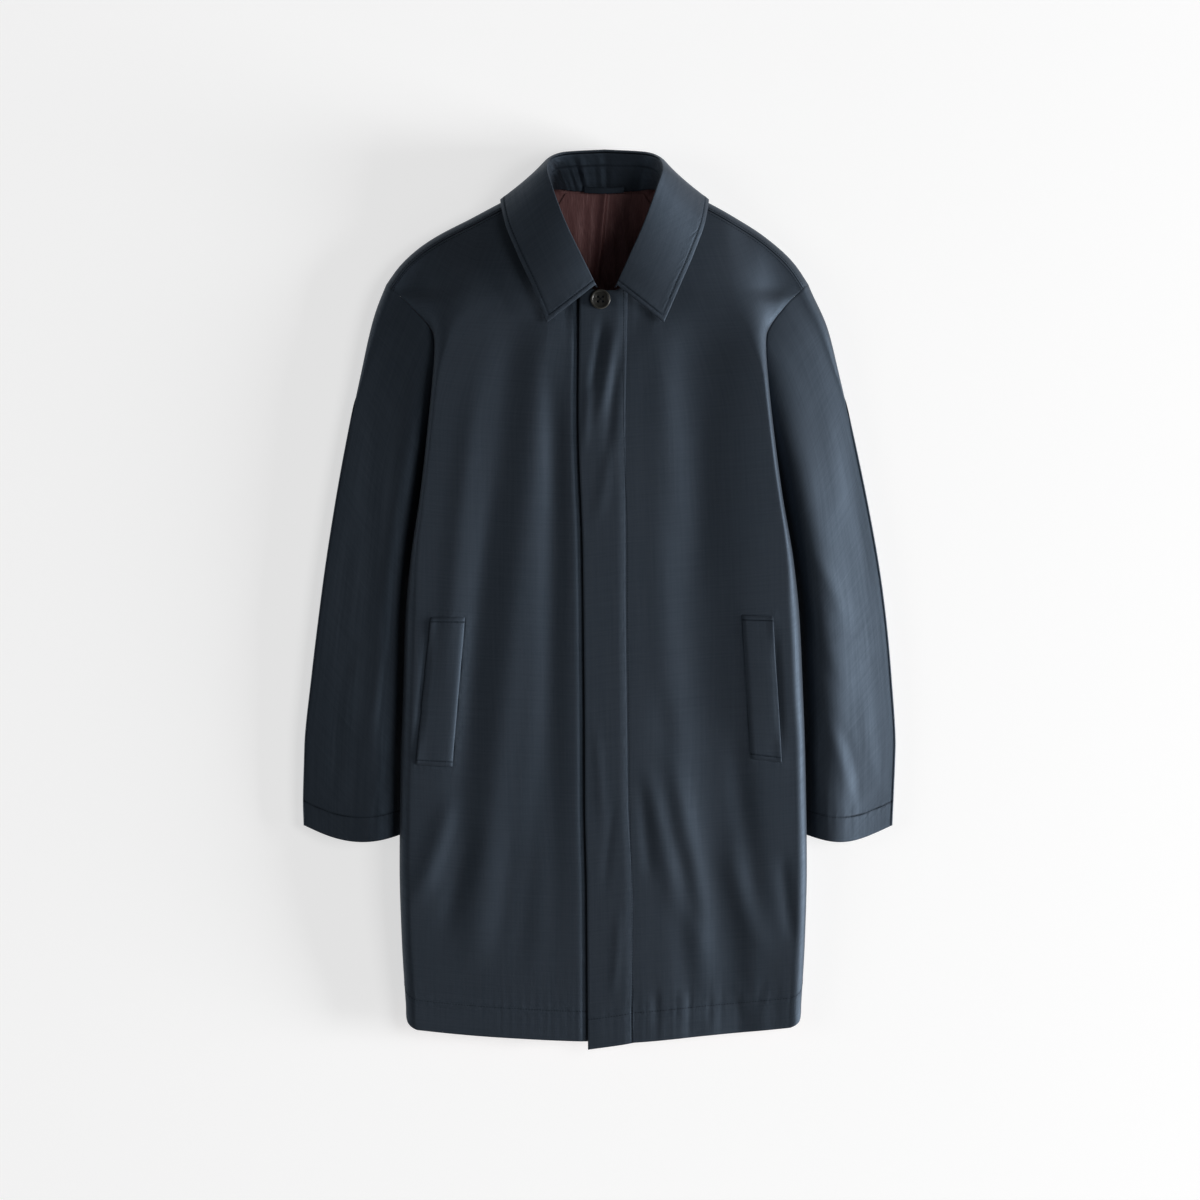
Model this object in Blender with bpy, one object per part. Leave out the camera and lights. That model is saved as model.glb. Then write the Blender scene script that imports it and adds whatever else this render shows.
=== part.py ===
# Fly-front coat laid on its back: cloth pieces, each a thin wall, apart at their seams.
# Metres. X across the coat, Y from hem to collar, Z up from the surface it lies on.
# Shapes are worked out on an even half coat (x from the middle outward) and then leaned.

import math

import bmesh
import bpy
import numpy as np
from mathutils import Vector
from mathutils.bvhtree import BVHTree

# Walls and gaps
SHELL_WALL = 0.0020
COLLAR_WALL = 0.0016
BAND_WALL = 0.0014
LINING_WALL = 0.0010
LOOP_WALL = 0.0012
SEAM_GAP = 0.0005
SHOULDER_GAP = 0.0022
LAP_GAP = 0.0004
SLEEVE_START = 0.046

# Body: levels and roundings
UNDERARM_Y = 0.178
SIDE_HEM_Y = -0.438
BACK_HEM_DROP = 0.030
ROUND_RUN = 0.050
BULGE_SHARE = 1.0 / 6.0
VALLEY_SHARE = 0.6
TOP_RISE_RUN = 0.100
UNDERLAP_DROP = 0.0052
UNDERLAP_FADE = 0.028
UNDERLAP_BACK = 0.006
FOLD_FADE = 0.070
FOLD_TOP_FADE = 0.060
FOLD_BAND_FADE = 0.022
TOP_TRIES = 40

# Shoulder roll, and the back neck that lies on the collar
ROLL_RADIUS = 0.0155
ROLL_END = math.radians(60.0)
NECK_ROLL_FROM = 0.045
NECK_ROLL_TO = 0.060
NECK_STEP = 0.002
NECK_LIFT = 0.0034
NECK_LIFT_Y = (0.375, 0.408)
NECK_LIFT_X = (0.125, 0.165)
SIDE_COLUMN = 10
NECK_COLUMN = 2
CUT_GAP = 0.0010
ELBOW_CUT_GAP = 0.0008
SIDE_CUT_GAP = 0.0014
UNDER_CUT_GAP = 0.0019
NECK_CUT_GAP = 0.0026
SHOULDER_STEPS = 24
SLOPE_PROBE = 0.002

# Sleeves
SLEEVE_PEAK = 1.45
SLEEVE_FULL = (0.70, 1.30)
SLEEVE_FLAT = 1.15
SLEEVE_INNER_TOP = 0.0085
SLEEVE_INNER_LOW = 0.0015
ARMHOLE_REACH = 3.2
UNDERARM_CLEAR = 0.0016
UNDER_BODY_GAP = 0.0040
UNDER_BODY_FROM = 0.3
UNDER_BODY_STEPS = 36
UNDER_BODY_SLOPE = 2.0
CUFF_REACH = 2.2
CUFF_BOW_TOP = 0.0150
CUFF_BOW_LOW = 0.0040

# Collar
NECK_CENTRE_Y = 0.410
LEAF_BULGE = 0.0045
LEAF_NEAR = 0.3
LEAF_FAR = 0.7
ROLL_OUT = 0.0085
ROLL_DROP = 0.0045
UNDER_SHARE = 0.90
UNDER_OUT = 0.004
STAND_STOP = 0.0044

# Small pieces
WELT_LIFT = 0.0010
BUTTON_RADIUS = 0.0109
BUTTON_THICK = 0.0030
BUTTON_RIM = 0.0022
BUTTON_DISH = 0.0009
BUTTON_PLACE = (0.000, 0.327)
BUTTON_LIFT = 0.0011
HOLE_RADIUS = 0.0010
HOLE_PITCH = 0.0019
HOLE_SIDES = 10
BUTTON_SIDES = 32
MERGE_DIST = 0.00001
LOOP_SPAN = (-0.018, 0.026)
LOOP_Y = (0.4475, 0.4535)
LOOP_Z = (0.0112, 0.0016)
LOOP_STEPS = 8
LINING_Z = 0.0064
PLEAT_RISE = 0.0012
PLEAT_HALF = 0.006

# Mesh counts
ROWS_LOW = 19
ROWS_ARM = 9
BACK_ROWS_ARM = 8
BACK_ROWS_ROLL = 5
BAND_COLS = 4
RUN_COLS = 9
SIDE_COLS = 9
UPPER_SIDE_COLS = 3
SLEEVE_RINGS = 21
ELBOW_RING = 11
COLLAR_STEPS = 18
LEAF_COLS = 7
STAND_COLS = 4
LINING_COLS = 10
LINING_ROWS = 7
WELT_COLS = 4
WELT_ROWS = 9

# Back's columns, by their places along the shoulder
BACK_COLUMN_X = (
    0.0, 0.0225, 0.045, 0.060, 0.080, 0.102, 0.125, 0.146, 0.165, 0.182, 0.1975, 0.210, 0.2199,
)

# Middle line's lean, near the middle and out at the shoulders
LEAN_COLUMNS = ("y", "inner", "outer", "sleeve")
LEAN_ROWS = (
    (-0.50, 0.0035, 0.0035, -0.0030),
    (-0.24, 0.0030, 0.0030, -0.0027),
    (-0.16, 0.0030, 0.0030, -0.0005),
    (0.00, 0.0020, 0.0020, 0.0020),
    (0.18, 0.0025, 0.0000, 0.0000),
    (0.29, 0.0050, -0.0012, -0.0012),
    (0.34, 0.0060, -0.0035, -0.0035),
    (0.39, 0.0052, -0.0015, -0.0015),
    (0.44, 0.0045, 0.0030, 0.0030),
    (0.50, 0.0050, 0.0050, 0.0050),
)
LEAN_OUTER = (0.115, 0.200)
LEAN_SLEEVE = (0.228, 0.310)

# Body section at each height: widest point, side seam or armhole edge, top of the front
BODY_COLUMNS = ("y", "edge_x", "seam_x", "seam_z", "top_z")
BODY_ROWS = (
    (-0.450, 0.2170, 0.1910, 0.0060, 0.030),
    (-0.376, 0.2212, 0.1952, 0.0080, 0.039),
    (-0.297, 0.2233, 0.1973, 0.0100, 0.045),
    (-0.178, 0.2217, 0.1957, 0.0100, 0.050),
    (-0.106, 0.2190, 0.1930, 0.0100, 0.053),
    (-0.021, 0.2157, 0.1897, 0.0100, 0.055),
    (0.042, 0.2091, 0.1831, 0.0100, 0.056),
    (0.108, 0.1981, 0.1721, 0.0100, 0.057),
    (0.178, 0.1893, 0.1633, 0.0100, 0.057),
    (0.240, 0.1838, 0.1700, 0.0240, 0.057),
    (0.290, 0.1805, 0.1830, 0.0340, 0.056),
    (0.322, 0.1790, 0.2070, 0.0400, 0.054),
    (0.3401, 0.1800, 0.2263, 0.0289, 0.050),
)

# Front hems, from the front edge (0) through the start of the rounding (2) to the side (3)
HEM_COLUMNS = ("place", "left_y", "right_y")
HEM_ROWS = (
    (0.0, -0.4961, -0.4890),
    (1.0, -0.4885, -0.4872),
    (1.5, -0.4805, -0.4830),
    (2.0, -0.4725, -0.4745),
    (2.25, -0.4660, -0.4670),
    (2.5, -0.4500, -0.4520),
    (3.0, -0.4380, -0.4380),
)

# Fly band: free front edge and stitched edge
BAND_COLUMNS = ("y", "edge_x", "stitch_x")
BAND_ROWS = (
    (-0.496, -0.0173, 0.0334),
    (-0.330, -0.0178, 0.0346),
    (-0.220, -0.0200, 0.0294),
    (-0.040, -0.0203, 0.0278),
    (0.050, -0.0213, 0.0277),
    (0.160, -0.0257, 0.0272),
    (0.337, -0.0292, 0.0259),
)

# Front neckline, from the middle to the shoulder
NECK_COLUMNS = ("x", "y", "z")
NECK_ROWS = (
    (-0.0300, 0.3370, 0.0505),
    (0.0120, 0.3370, 0.0505),
    (0.0300, 0.3490, 0.0485),
    (0.0420, 0.3720, 0.0445),
    (0.0500, 0.4000, 0.0385),
    (0.0555, 0.4300, 0.0325),
)

# Shoulder line as it shows from above, from the neck to the sleeve head
SHOULDER_COLUMNS = ("x", "y")
SHOULDER_ROWS = (
    (0.0620, 0.4600),
    (0.1128, 0.4356),
    (0.1452, 0.4180),
    (0.1766, 0.4004),
    (0.2008, 0.3828),
    (0.2184, 0.3652),
    (0.2327, 0.3445),
)
BACK_NECK_Y = 0.4406

# Back armhole on the surface, from the underarm up
BACK_ARM_COLUMNS = ("y", "x", "z")
BACK_ARM_ROWS = (
    (0.178, 0.1633, 0.0100),
    (0.235, 0.1720, 0.0030),
    (0.285, 0.1900, 0.0000),
    (0.315, 0.2060, 0.0000),
    (0.3357, 0.2199, 0.0000),
)

# Large folds: ridges rise, troughs sink; x at the low end, middle and high end
FOLD_COLUMNS = ("y_low", "y_high", "x_low", "x_mid", "x_high", "half_width", "rise")
LEFT_FOLDS = (
    (-0.600, 0.330, 0.1780, 0.1170, 0.1060, 0.030, -0.0045),
    (-0.440, 0.330, 0.1150, 0.0800, 0.0760, 0.018, 0.0010),
    (-0.600, -0.080, 0.1120, 0.0840, 0.0620, 0.011, -0.0016),
    (-0.600, -0.220, 0.1850, 0.1640, 0.1450, 0.012, 0.0016),
)
RIGHT_FOLDS = (
    (-0.420, 0.330, 0.1470, 0.1000, 0.0610, 0.018, 0.0024),
    (-0.360, 0.320, 0.1760, 0.1300, 0.0990, 0.018, -0.0020),
    (-0.430, 0.250, 0.0980, 0.0610, 0.0500, 0.013, -0.0016),
)

# Sleeve sections from armhole to cuff: outer and inner edges, height, height of the outer edge
SLEEVE_COLUMNS = ("section", "outer_x", "outer_y", "inner_x", "inner_y", "height", "edge_z")
SLEEVE_ROWS = (
    (0.0, 0.2327, 0.3445, 0.1633, 0.1780, 0.0375, 0.0155),
    (1.0, 0.2505, 0.3000, 0.1722, 0.1500, 0.0410, 0.0170),
    (2.0, 0.2635, 0.2450, 0.1822, 0.1150, 0.0435, 0.0180),
    (3.0, 0.2775, 0.1800, 0.1900, 0.0750, 0.0440, 0.0180),
    (4.0, 0.2932, 0.0990, 0.1975, 0.0300, 0.0440, 0.0180),
    (5.0, 0.3072, 0.0120, 0.2035, -0.0250, 0.0435, 0.0180),
    (6.0, 0.3182, -0.0850, 0.2055, -0.0950, 0.0420, 0.0175),
    (7.0, 0.3245, -0.1650, 0.2085, -0.1680, 0.0390, 0.0165),
    (8.0, 0.3243, -0.2150, 0.2097, -0.2150, 0.0360, 0.0155),
    (9.0, 0.3232, -0.2505, 0.2100, -0.2555, 0.0330, 0.0145),
)
SLEEVE_LOW_F = (1.0, 0.92, 0.80, 0.65, 0.49, 0.34, 0.21, 0.12, 0.06)
SLEEVE_EDGE_F = (0.028, 0.008, 0.0, 0.001)

# Collar from its front end (0) round to the middle of the back (7): neck seam, roll line, edge
COLLAR_COLUMNS = (
    "station", "neck_x", "neck_y", "neck_z",
    "roll_x", "roll_y", "roll_z",
    "edge_x", "edge_y", "edge_z", "turn",
)
COLLAR_ROWS = (
    (0.0, 0.0090, 0.3400, 0.0524, 0.0110, 0.3425, 0.0640, 0.0640, 0.3010, 0.0600, 0.00),
    (1.0, 0.0390, 0.3680, 0.0474, 0.0265, 0.3750, 0.0690, 0.0795, 0.3380, 0.0600, 0.00),
    (2.0, 0.0505, 0.4070, 0.0402, 0.0435, 0.4120, 0.0710, 0.0965, 0.3760, 0.0560, 0.00),
    (3.0, 0.0560, 0.4370, 0.0347, 0.0565, 0.4470, 0.0680, 0.1100, 0.4120, 0.0455, 0.00),
    (4.0, 0.0555, 0.4480, 0.0290, 0.0635, 0.4700, 0.0580, 0.1150, 0.4380, 0.0235, 0.25),
    (5.0, 0.0460, 0.4495, 0.0152, 0.0600, 0.4810, 0.0420, 0.0985, 0.4420, 0.0010, 0.80),
    (6.0, 0.0320, 0.4480, 0.0082, 0.0440, 0.4885, 0.0240, 0.0650, 0.4330, 0.0000, 1.00),
    (7.0, 0.0000, 0.4475, 0.0074, 0.0000, 0.4915, 0.0170, 0.0000, 0.4200, 0.0000, 1.00),
)

# Lining seen in the neck: half width at each height
LINING_COLUMNS = ("y", "half_width")
LINING_TABLE = (
    (0.300, 0.085),
    (0.390, 0.074),
    (0.425, 0.056),
    (0.443, 0.043),
)

# Pocket welts, corners seen from above, already leaned
WELT_COLUMNS = ("top_inner", "top_outer", "low_inner", "low_outer")
WELT_RIGHT = ((-0.1480, -0.0210), (-0.1854, -0.0209), (-0.1623, -0.1848), (-0.2019, -0.1826))
WELT_LEFT = ((0.1546, -0.0187), (0.1887, -0.0198), (0.1645, -0.1760), (0.1986, -0.1804))
WELTS = (("welt_left", "front_left", WELT_LEFT), ("welt_right", "front_right", WELT_RIGHT))

# Colours, roughness
NAVY = (0.022, 0.032, 0.046, 1.0)
NAVY_ROUGH = 0.62
BURGUNDY = (0.075, 0.026, 0.030, 1.0)
BURGUNDY_ROUGH = 0.45
BUTTON_COLOUR = (0.030, 0.030, 0.032, 1.0)
BUTTON_ROUGH = 0.38


def spline(knots, values, where):
    # Smooth curve through a table's rows that never swings past them, level beyond the ends.
    where = np.clip(np.asarray(where, float), knots[0], knots[-1])
    step = np.diff(knots)
    slope = np.diff(values) / step
    tangent = np.zeros(len(knots))
    tangent[0] = slope[0]
    tangent[-1] = slope[-1]
    for i in range(1, len(knots) - 1):
        if slope[i - 1] * slope[i] > 0:
            tangent[i] = 2 * slope[i - 1] * slope[i] / (slope[i - 1] + slope[i])
    at = np.clip(np.searchsorted(knots, where, side="right") - 1, 0, len(step) - 1)
    t = (where - knots[at]) / step[at]
    start = (1 + 2 * t) * (1 - t) ** 2 * values[at] + t * (1 - t) ** 2 * step[at] * tangent[at]
    end = t**2 * (3 - 2 * t) * values[at + 1] - t**2 * (1 - t) * step[at] * tangent[at + 1]
    return start + end


class Table:
    def __init__(self, columns, rows):
        values = np.array(rows, float).T
        self.key = values[0]
        self.named = dict(zip(columns, values))

    def at(self, column, where):
        return spline(self.key, self.named[column], where)


def eased(value, start, end):
    t = np.clip((value - start) / (end - start), 0.0, 1.0)
    return t * t * (3 - 2 * t)


def bezier(t, a, b, c, d):
    return (1 - t) ** 3 * a + 3 * t * (1 - t) ** 2 * b + 3 * t**2 * (1 - t) * c + t**3 * d


LEAN = Table(LEAN_COLUMNS, LEAN_ROWS)
BODY = Table(BODY_COLUMNS, BODY_ROWS)
HEM = Table(HEM_COLUMNS, HEM_ROWS)
BAND = Table(BAND_COLUMNS, BAND_ROWS)
NECK = Table(NECK_COLUMNS, NECK_ROWS)
SHOULDER = Table(SHOULDER_COLUMNS, SHOULDER_ROWS)
BACK_ARM = Table(BACK_ARM_COLUMNS, BACK_ARM_ROWS)
SLEEVE = Table(SLEEVE_COLUMNS, SLEEVE_ROWS)
COLLAR = Table(COLLAR_COLUMNS, COLLAR_ROWS)
LINING = Table(LINING_COLUMNS, LINING_TABLE)


def shoulder_normal(x):
    # Direction straight out of the shoulder line, seen from above.
    low = np.clip(x - SLOPE_PROBE, SHOULDER.key[0], SHOULDER.key[-1])
    high = np.clip(x + SLOPE_PROBE, SHOULDER.key[0], SHOULDER.key[-1])
    slope = (SHOULDER.at("y", high) - SHOULDER.at("y", low)) / (high - low)
    length = np.sqrt(1 + slope**2)
    return -slope / length, 1 / length


def shoulder_inside(depth):
    # Shoulder line moved in by a depth, as a table of x and y.
    x = np.linspace(SHOULDER.key[0], SHOULDER.key[-1], SHOULDER_STEPS)
    out_x, out_y = shoulder_normal(x)
    return x - out_x * depth, SHOULDER.at("y", x) - out_y * depth


def neck_lift(x, y):
    lift = eased(y, *NECK_LIFT_Y) * (1 - eased(np.abs(x), *NECK_LIFT_X))
    return NECK_LIFT * lift


SEAM_DEPTH = ROLL_RADIUS * (1 - math.cos(ROLL_END)) + SHOULDER_GAP
SEAM_Z = ROLL_RADIUS * (1 + math.sin(ROLL_END))
SEAM_LINE = shoulder_inside(SEAM_DEPTH)
FLOOR_LINE = shoulder_inside(ROLL_RADIUS)
TOP_X = np.concatenate([NECK.named["x"], SEAM_LINE[0]])
TOP_Y = np.concatenate([NECK.named["y"], SEAM_LINE[1]])
TOP_Z = np.concatenate([NECK.named["z"], SEAM_Z + neck_lift(*FLOOR_LINE)])
SIDE_SHARE = BACK_COLUMN_X[SIDE_COLUMN] / BACK_COLUMN_X[-1]
BACK_ROWS_FLAT = ROWS_LOW + BACK_ROWS_ARM + 1
FLOOR_X = np.concatenate([[0.0, NECK_ROLL_FROM], FLOOR_LINE[0]])
FLOOR_Y = np.concatenate([[BACK_NECK_Y, BACK_NECK_Y], FLOOR_LINE[1]])


def leaned(points):
    # Even half-coat places moved to where the coat really leans.
    points = np.array(points, float)
    x = points[..., 0]
    y = points[..., 1]
    inner = LEAN.at("inner", y)
    outer = LEAN.at("outer", y)
    lean = inner + (outer - inner) * eased(np.abs(x), *LEAN_OUTER)
    points[..., 0] = x + lean + (LEAN.at("sleeve", y) - outer) * eased(np.abs(x), *LEAN_SLEEVE)
    return points


def side_curve(t, y):
    # Rounding from the top of the front, over the side and under to the side seam or armhole.
    edge = BODY.at("edge_x", y)
    seam = BODY.at("seam_x", y)
    seam_z = BODY.at("seam_z", y)
    top = BODY.at("top_z", y)
    lap = edge - seam
    out = edge + (ROUND_RUN + np.maximum(lap, 0)) * BULGE_SHARE
    low = np.where(lap > 0, out, edge + ROUND_RUN * BULGE_SHARE + lap * VALLEY_SHARE)
    return bezier(t, edge - ROUND_RUN, out, low, seam), bezier(t, top, top, seam_z, seam_z)


def under_body(x, y):
    # Height the body's underside leaves for a sleeve at a place beside or below it.
    t = np.linspace(UNDER_BODY_FROM, 1.0, UNDER_BODY_STEPS)
    room = np.full(len(x), np.inf)
    for i in range(len(x)):
        side_x, side_z = side_curve(t, y[i])
        widest = int(np.argmax(side_x))
        if widest < len(t) - 1:
            under = np.interp(x[i], side_x[widest:][::-1], side_z[widest:][::-1])
            room[i] = under + max(x[i] - side_x[widest], 0.0) * UNDER_BODY_SLOPE
    return room - UNDER_BODY_GAP


def body_section(place, y, start, stitch):
    # Point of a front's section: 0 to 1 over the band, 1 to 2 over the top, 2 to 3 round the side.
    top = BODY.at("top_z", y)
    if place <= 1:
        return start + (stitch - start) * place, top
    if place <= 2:
        return stitch + (BODY.at("edge_x", y) - ROUND_RUN - stitch) * (place - 1), top
    return side_curve(place - 2, y)


def fold_height(folds, x, y):
    total = np.zeros_like(x)
    for row in folds:
        fold = dict(zip(FOLD_COLUMNS, row))
        s = (y - fold["y_low"]) / (fold["y_high"] - fold["y_low"])
        bow = 4 * (fold["x_mid"] - (fold["x_low"] + fold["x_high"]) / 2) * s * (1 - s)
        middle = fold["x_low"] + (fold["x_high"] - fold["x_low"]) * s + bow
        fade = eased(y, fold["y_low"], fold["y_low"] + FOLD_FADE)
        fade = fade * (1 - eased(y, fold["y_high"] - FOLD_FADE, fold["y_high"]))
        total += fold["rise"] * np.exp(-(((x - middle) / fold["half_width"]) ** 2)) * fade
    return total


def front_grid(side):
    # Rows from hem to shoulder, columns from the front edge round to the side seam and armhole.
    over = side > 0
    places = np.concatenate([
        np.linspace(0, 1, BAND_COLS + 1),
        np.linspace(1, 2, RUN_COLS + 1)[1:],
        np.linspace(2, 3, SIDE_COLS + 1)[1:],
    ])
    hem = HEM.at("left_y" if over else "right_y", places)
    folds = LEFT_FOLDS if over else RIGHT_FOLDS
    columns = []
    for place, low in zip(places, hem):
        top_y = NECK.named["y"][0]
        for _ in range(TOP_TRIES):
            start, stitch = band_lines(over, top_y)
            top_y = np.interp(body_section(place, top_y, start, stitch)[0], TOP_X, TOP_Y)
        y = np.concatenate([
            np.linspace(low, UNDERARM_Y, ROWS_LOW + 1),
            np.linspace(UNDERARM_Y, top_y, ROWS_ARM + 1)[1:],
        ])
        start, stitch = band_lines(over, y)
        x, z = body_section(place, y, start, stitch)
        rim_z = np.interp(x[-1], TOP_X, TOP_Z)
        below = np.clip((top_y - y) / TOP_RISE_RUN, 0, 1)
        z = rim_z + (z - rim_z) * (1 - (1 - below) ** 2)
        keep = eased(top_y - y, 0, FOLD_TOP_FADE) * np.clip(3 - place, 0, 1)
        keep = keep * eased(x - stitch, 0, FOLD_BAND_FADE)
        z = z + fold_height(folds, x, y) * keep
        if not over:
            z = z - UNDERLAP_DROP * (1 - eased(x - stitch, 0, UNDERLAP_FADE))
        columns.append(np.stack([x, y, z], axis=-1))
    return np.stack(columns, axis=1)


def band_lines(over, y):
    # First two lines of a front: the fly's edges, or the underlap's edge and the fly's edge over it.
    if over:
        return BAND.at("edge_x", y), BAND.at("stitch_x", y)
    return UNDERLAP_BACK - BAND.at("stitch_x", y), -BAND.at("edge_x", y)


def back_side(y):
    # Side seam below the underarm, armhole above.
    seam = BODY.at("seam_x", y)
    seam_z = BODY.at("seam_z", y)
    low = y <= UNDERARM_Y
    x = np.where(low, seam, BACK_ARM.at("x", y)) - SEAM_GAP
    return x, np.where(low, seam_z, BACK_ARM.at("z", y))


def back_half():
    # Rows from hem over the shoulder to its seam, columns from the middle to the side.
    columns = []
    angle = np.linspace(-math.pi / 2, ROLL_END, BACK_ROWS_ROLL + 1)[1:]
    for column_x in BACK_COLUMN_X:
        share = column_x / BACK_COLUMN_X[-1]
        top_x = share * back_side(BACK_ARM.key[-1])[0]
        top_y = np.interp(top_x, FLOOR_X, FLOOR_Y)
        low = SIDE_HEM_Y - BACK_HEM_DROP * (1 - share**2)
        y = np.concatenate([
            np.linspace(low, UNDERARM_Y, ROWS_LOW + 1),
            np.linspace(UNDERARM_Y, top_y, BACK_ROWS_ARM + 1)[1:],
        ])
        side_x, side_z = back_side(y)
        x = share * side_x
        ramp = max(share - SIDE_SHARE, 0.0) / (1 - SIDE_SHARE)
        z = side_z * ramp + neck_lift(x, y)
        line_x = np.clip(np.interp(top_x, FLOOR_LINE[0], np.linspace(0, 1, len(FLOOR_LINE[0]))), 0, 1)
        line_x = SHOULDER.key[0] + line_x * (SHOULDER.key[-1] - SHOULDER.key[0])
        out_x, out_y = shoulder_normal(line_x)
        roll = eased(top_x, NECK_ROLL_FROM, NECK_ROLL_TO)
        flat = NECK_STEP * np.arange(1, BACK_ROWS_ROLL + 1) * (1 - roll)
        reach = ROLL_RADIUS * np.cos(angle) * roll
        roll_x = x[-1] + out_x * reach
        roll_y = y[-1] + out_y * reach + flat
        roll_z = z[-1] + ROLL_RADIUS * (1 + np.sin(angle)) * roll
        low_part = np.stack([x, y, z], axis=-1)
        columns.append(np.concatenate([low_part, np.stack([roll_x, roll_y, roll_z], axis=-1)]))
    return np.stack(columns, axis=1)


def sleeve_rings(front, back):
    # Rings from armhole to cuff; the first follows the armhole edges of front and back.
    arm_top = front[ROWS_LOW:, -1][::-1]
    arm_low = back[ROWS_LOW:, -1][:-1]
    top_count = len(arm_top)
    top_f = np.sin(np.pi / 2 * (np.arange(top_count) + 0.5) / (top_count - 0.5)) ** 2
    f = np.concatenate([top_f, SLEEVE_LOW_F, SLEEVE_EDGE_F])
    upper = np.arange(len(f)) < top_count
    arm = np.concatenate([arm_top, arm_low])
    arm[top_count, 2] = SLEEVE_INNER_LOW
    arm[:, 0] += UNDERARM_CLEAR * f
    rings = []
    for section in np.linspace(SLEEVE_START, SLEEVE.key[-1], SLEEVE_RINGS):
        ring = sleeve_section(section, f, upper)
        pull = 1 - eased(section, SLEEVE_START, ARMHOLE_REACH)
        ring = ring + pull * (arm - sleeve_section(0.0, f, upper))
        room = under_body(ring[:, 0], ring[:, 1])
        ring[:, 2] = np.where(upper, np.minimum(ring[:, 2], room), ring[:, 2])
        rings.append(ring)
    return np.stack(rings)


def sleeve_section(section, f, upper):
    outer = np.array([SLEEVE.at("outer_x", section), SLEEVE.at("outer_y", section)])
    inner = np.array([SLEEVE.at("inner_x", section), SLEEVE.at("inner_y", section)])
    height = SLEEVE.at("height", section)
    edge = SLEEVE.at("edge_z", section)
    along = outer + f[:, None] * (inner - outer)
    full = SLEEVE_FULL[0] + (SLEEVE_FULL[1] - SLEEVE_FULL[0]) * f
    arch = np.clip(np.sin(np.pi * f**SLEEVE_PEAK), 0, 1) ** full
    edge_top = edge + (SLEEVE_INNER_TOP - edge) * f
    edge_low = edge + (SLEEVE_INNER_LOW - edge) * f
    sunk = np.maximum(0, 1 - SLEEVE_FLAT * np.sqrt(np.clip(np.sin(np.pi * f), 0, 1)))
    z = np.where(upper, edge_top + (height - edge_top) * arch, edge_low * sunk)
    cuff = eased(section, SLEEVE.key[-1] - CUFF_REACH, SLEEVE.key[-1])
    bow = np.where(upper, CUFF_BOW_TOP, CUFF_BOW_LOW) * np.sin(np.pi * f) * cuff
    return np.stack([along[:, 0], along[:, 1] - bow, z], axis=-1)


def collar_lines(prefix, station):
    return np.stack([COLLAR.at(prefix + axis, station) for axis in ("_x", "_y", "_z")], axis=-1)


def collar_half(kind):
    # Rows from the front end to the middle of the back, columns across the piece.
    station = np.linspace(0, COLLAR.key[-1], COLLAR_STEPS + 1)
    neck = collar_lines("neck", station)
    roll = collar_lines("roll", station)
    edge = collar_lines("edge", station)
    if kind == "stand":
        rise = roll - neck
        rise = rise * (1 - STAND_STOP / np.linalg.norm(rise, axis=1, keepdims=True))
        return np.stack([neck + rise * s for s in np.linspace(0, 1, STAND_COLS + 1)], axis=1)
    turn = COLLAR.at("turn", station)[:, None]
    away = roll[:, :2] - np.array([0.0, NECK_CENTRE_Y])
    away = away / np.linalg.norm(away, axis=1, keepdims=True)
    rise = np.array([0.0, 0.0, LEAF_BULGE])
    out = np.concatenate([away * ROLL_OUT, np.full((len(station), 1), -ROLL_DROP)], axis=1)
    first = (1 - turn) * (roll + (edge - roll) * LEAF_NEAR + rise) + turn * (roll + out)
    under = edge + (roll - edge) * UNDER_SHARE
    under = np.concatenate([under[:, :2] + away * UNDER_OUT, edge[:, 2:]], axis=1)
    second = (1 - turn) * (roll + (edge - roll) * LEAF_FAR + rise) + turn * under
    shares = np.linspace(0, 1, LEAF_COLS + 1)
    return np.stack([bezier(s, roll, first, second, edge) for s in shares], axis=1)


def both_halves(half):
    # Right half reversed, then the left half, sharing the middle.
    mirror = half * np.array([-1.0, 1.0, 1.0])
    return np.concatenate([mirror, half[::-1][1:]])


def colour(name, rgba, rough):
    made = bpy.data.materials.new(name)
    made.use_nodes = True
    shader = made.node_tree.nodes["Principled BSDF"]
    shader.inputs["Base Color"].default_value = rgba
    shader.inputs["Roughness"].default_value = rough
    shader.inputs["Metallic"].default_value = 0.0
    return made


def outward_cloth(grid, ring=False):
    # Grid of points as a sheet of four-sided faces; a ring closes on itself across the columns.
    mesh = bmesh.new()
    verts = [[mesh.verts.new(Vector(point)) for point in row] for row in grid]
    columns = len(verts[0])
    for i in range(len(verts) - 1):
        for j in range(columns if ring else columns - 1):
            k = (j + 1) % columns
            mesh.faces.new((verts[i][j], verts[i][k], verts[i + 1][k], verts[i + 1][j]))
    mesh.normal_update()
    return mesh


def add_piece(name, mesh, rgba, rough, wall=0.0, outside=False, flip=False):
    if flip:
        bmesh.ops.reverse_faces(mesh, faces=mesh.faces[:])
    data = bpy.data.meshes.new(name)
    mesh.to_mesh(data)
    mesh.free()
    piece = bpy.data.objects.new(name, data)
    bpy.context.scene.collection.objects.link(piece)
    data.materials.append(colour(name + "_cloth", rgba, rough))
    if wall > 0:
        solid = piece.modifiers.new("wall", "SOLIDIFY")
        solid.thickness = wall
        solid.offset = 1.0 if outside else -1.0
        solid.use_rim = True
    return piece


def moved_out(mesh, distance):
    for vert, normal in [(v, v.normal.copy()) for v in mesh.verts]:
        vert.co += normal * distance
    return mesh


def drawn_back(line, towards, gap):
    # A cut edge moved towards the next line of its piece, so that a gap stays open.
    step = towards - line
    return line + gap * step / np.linalg.norm(step, axis=-1, keepdims=True)


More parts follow.
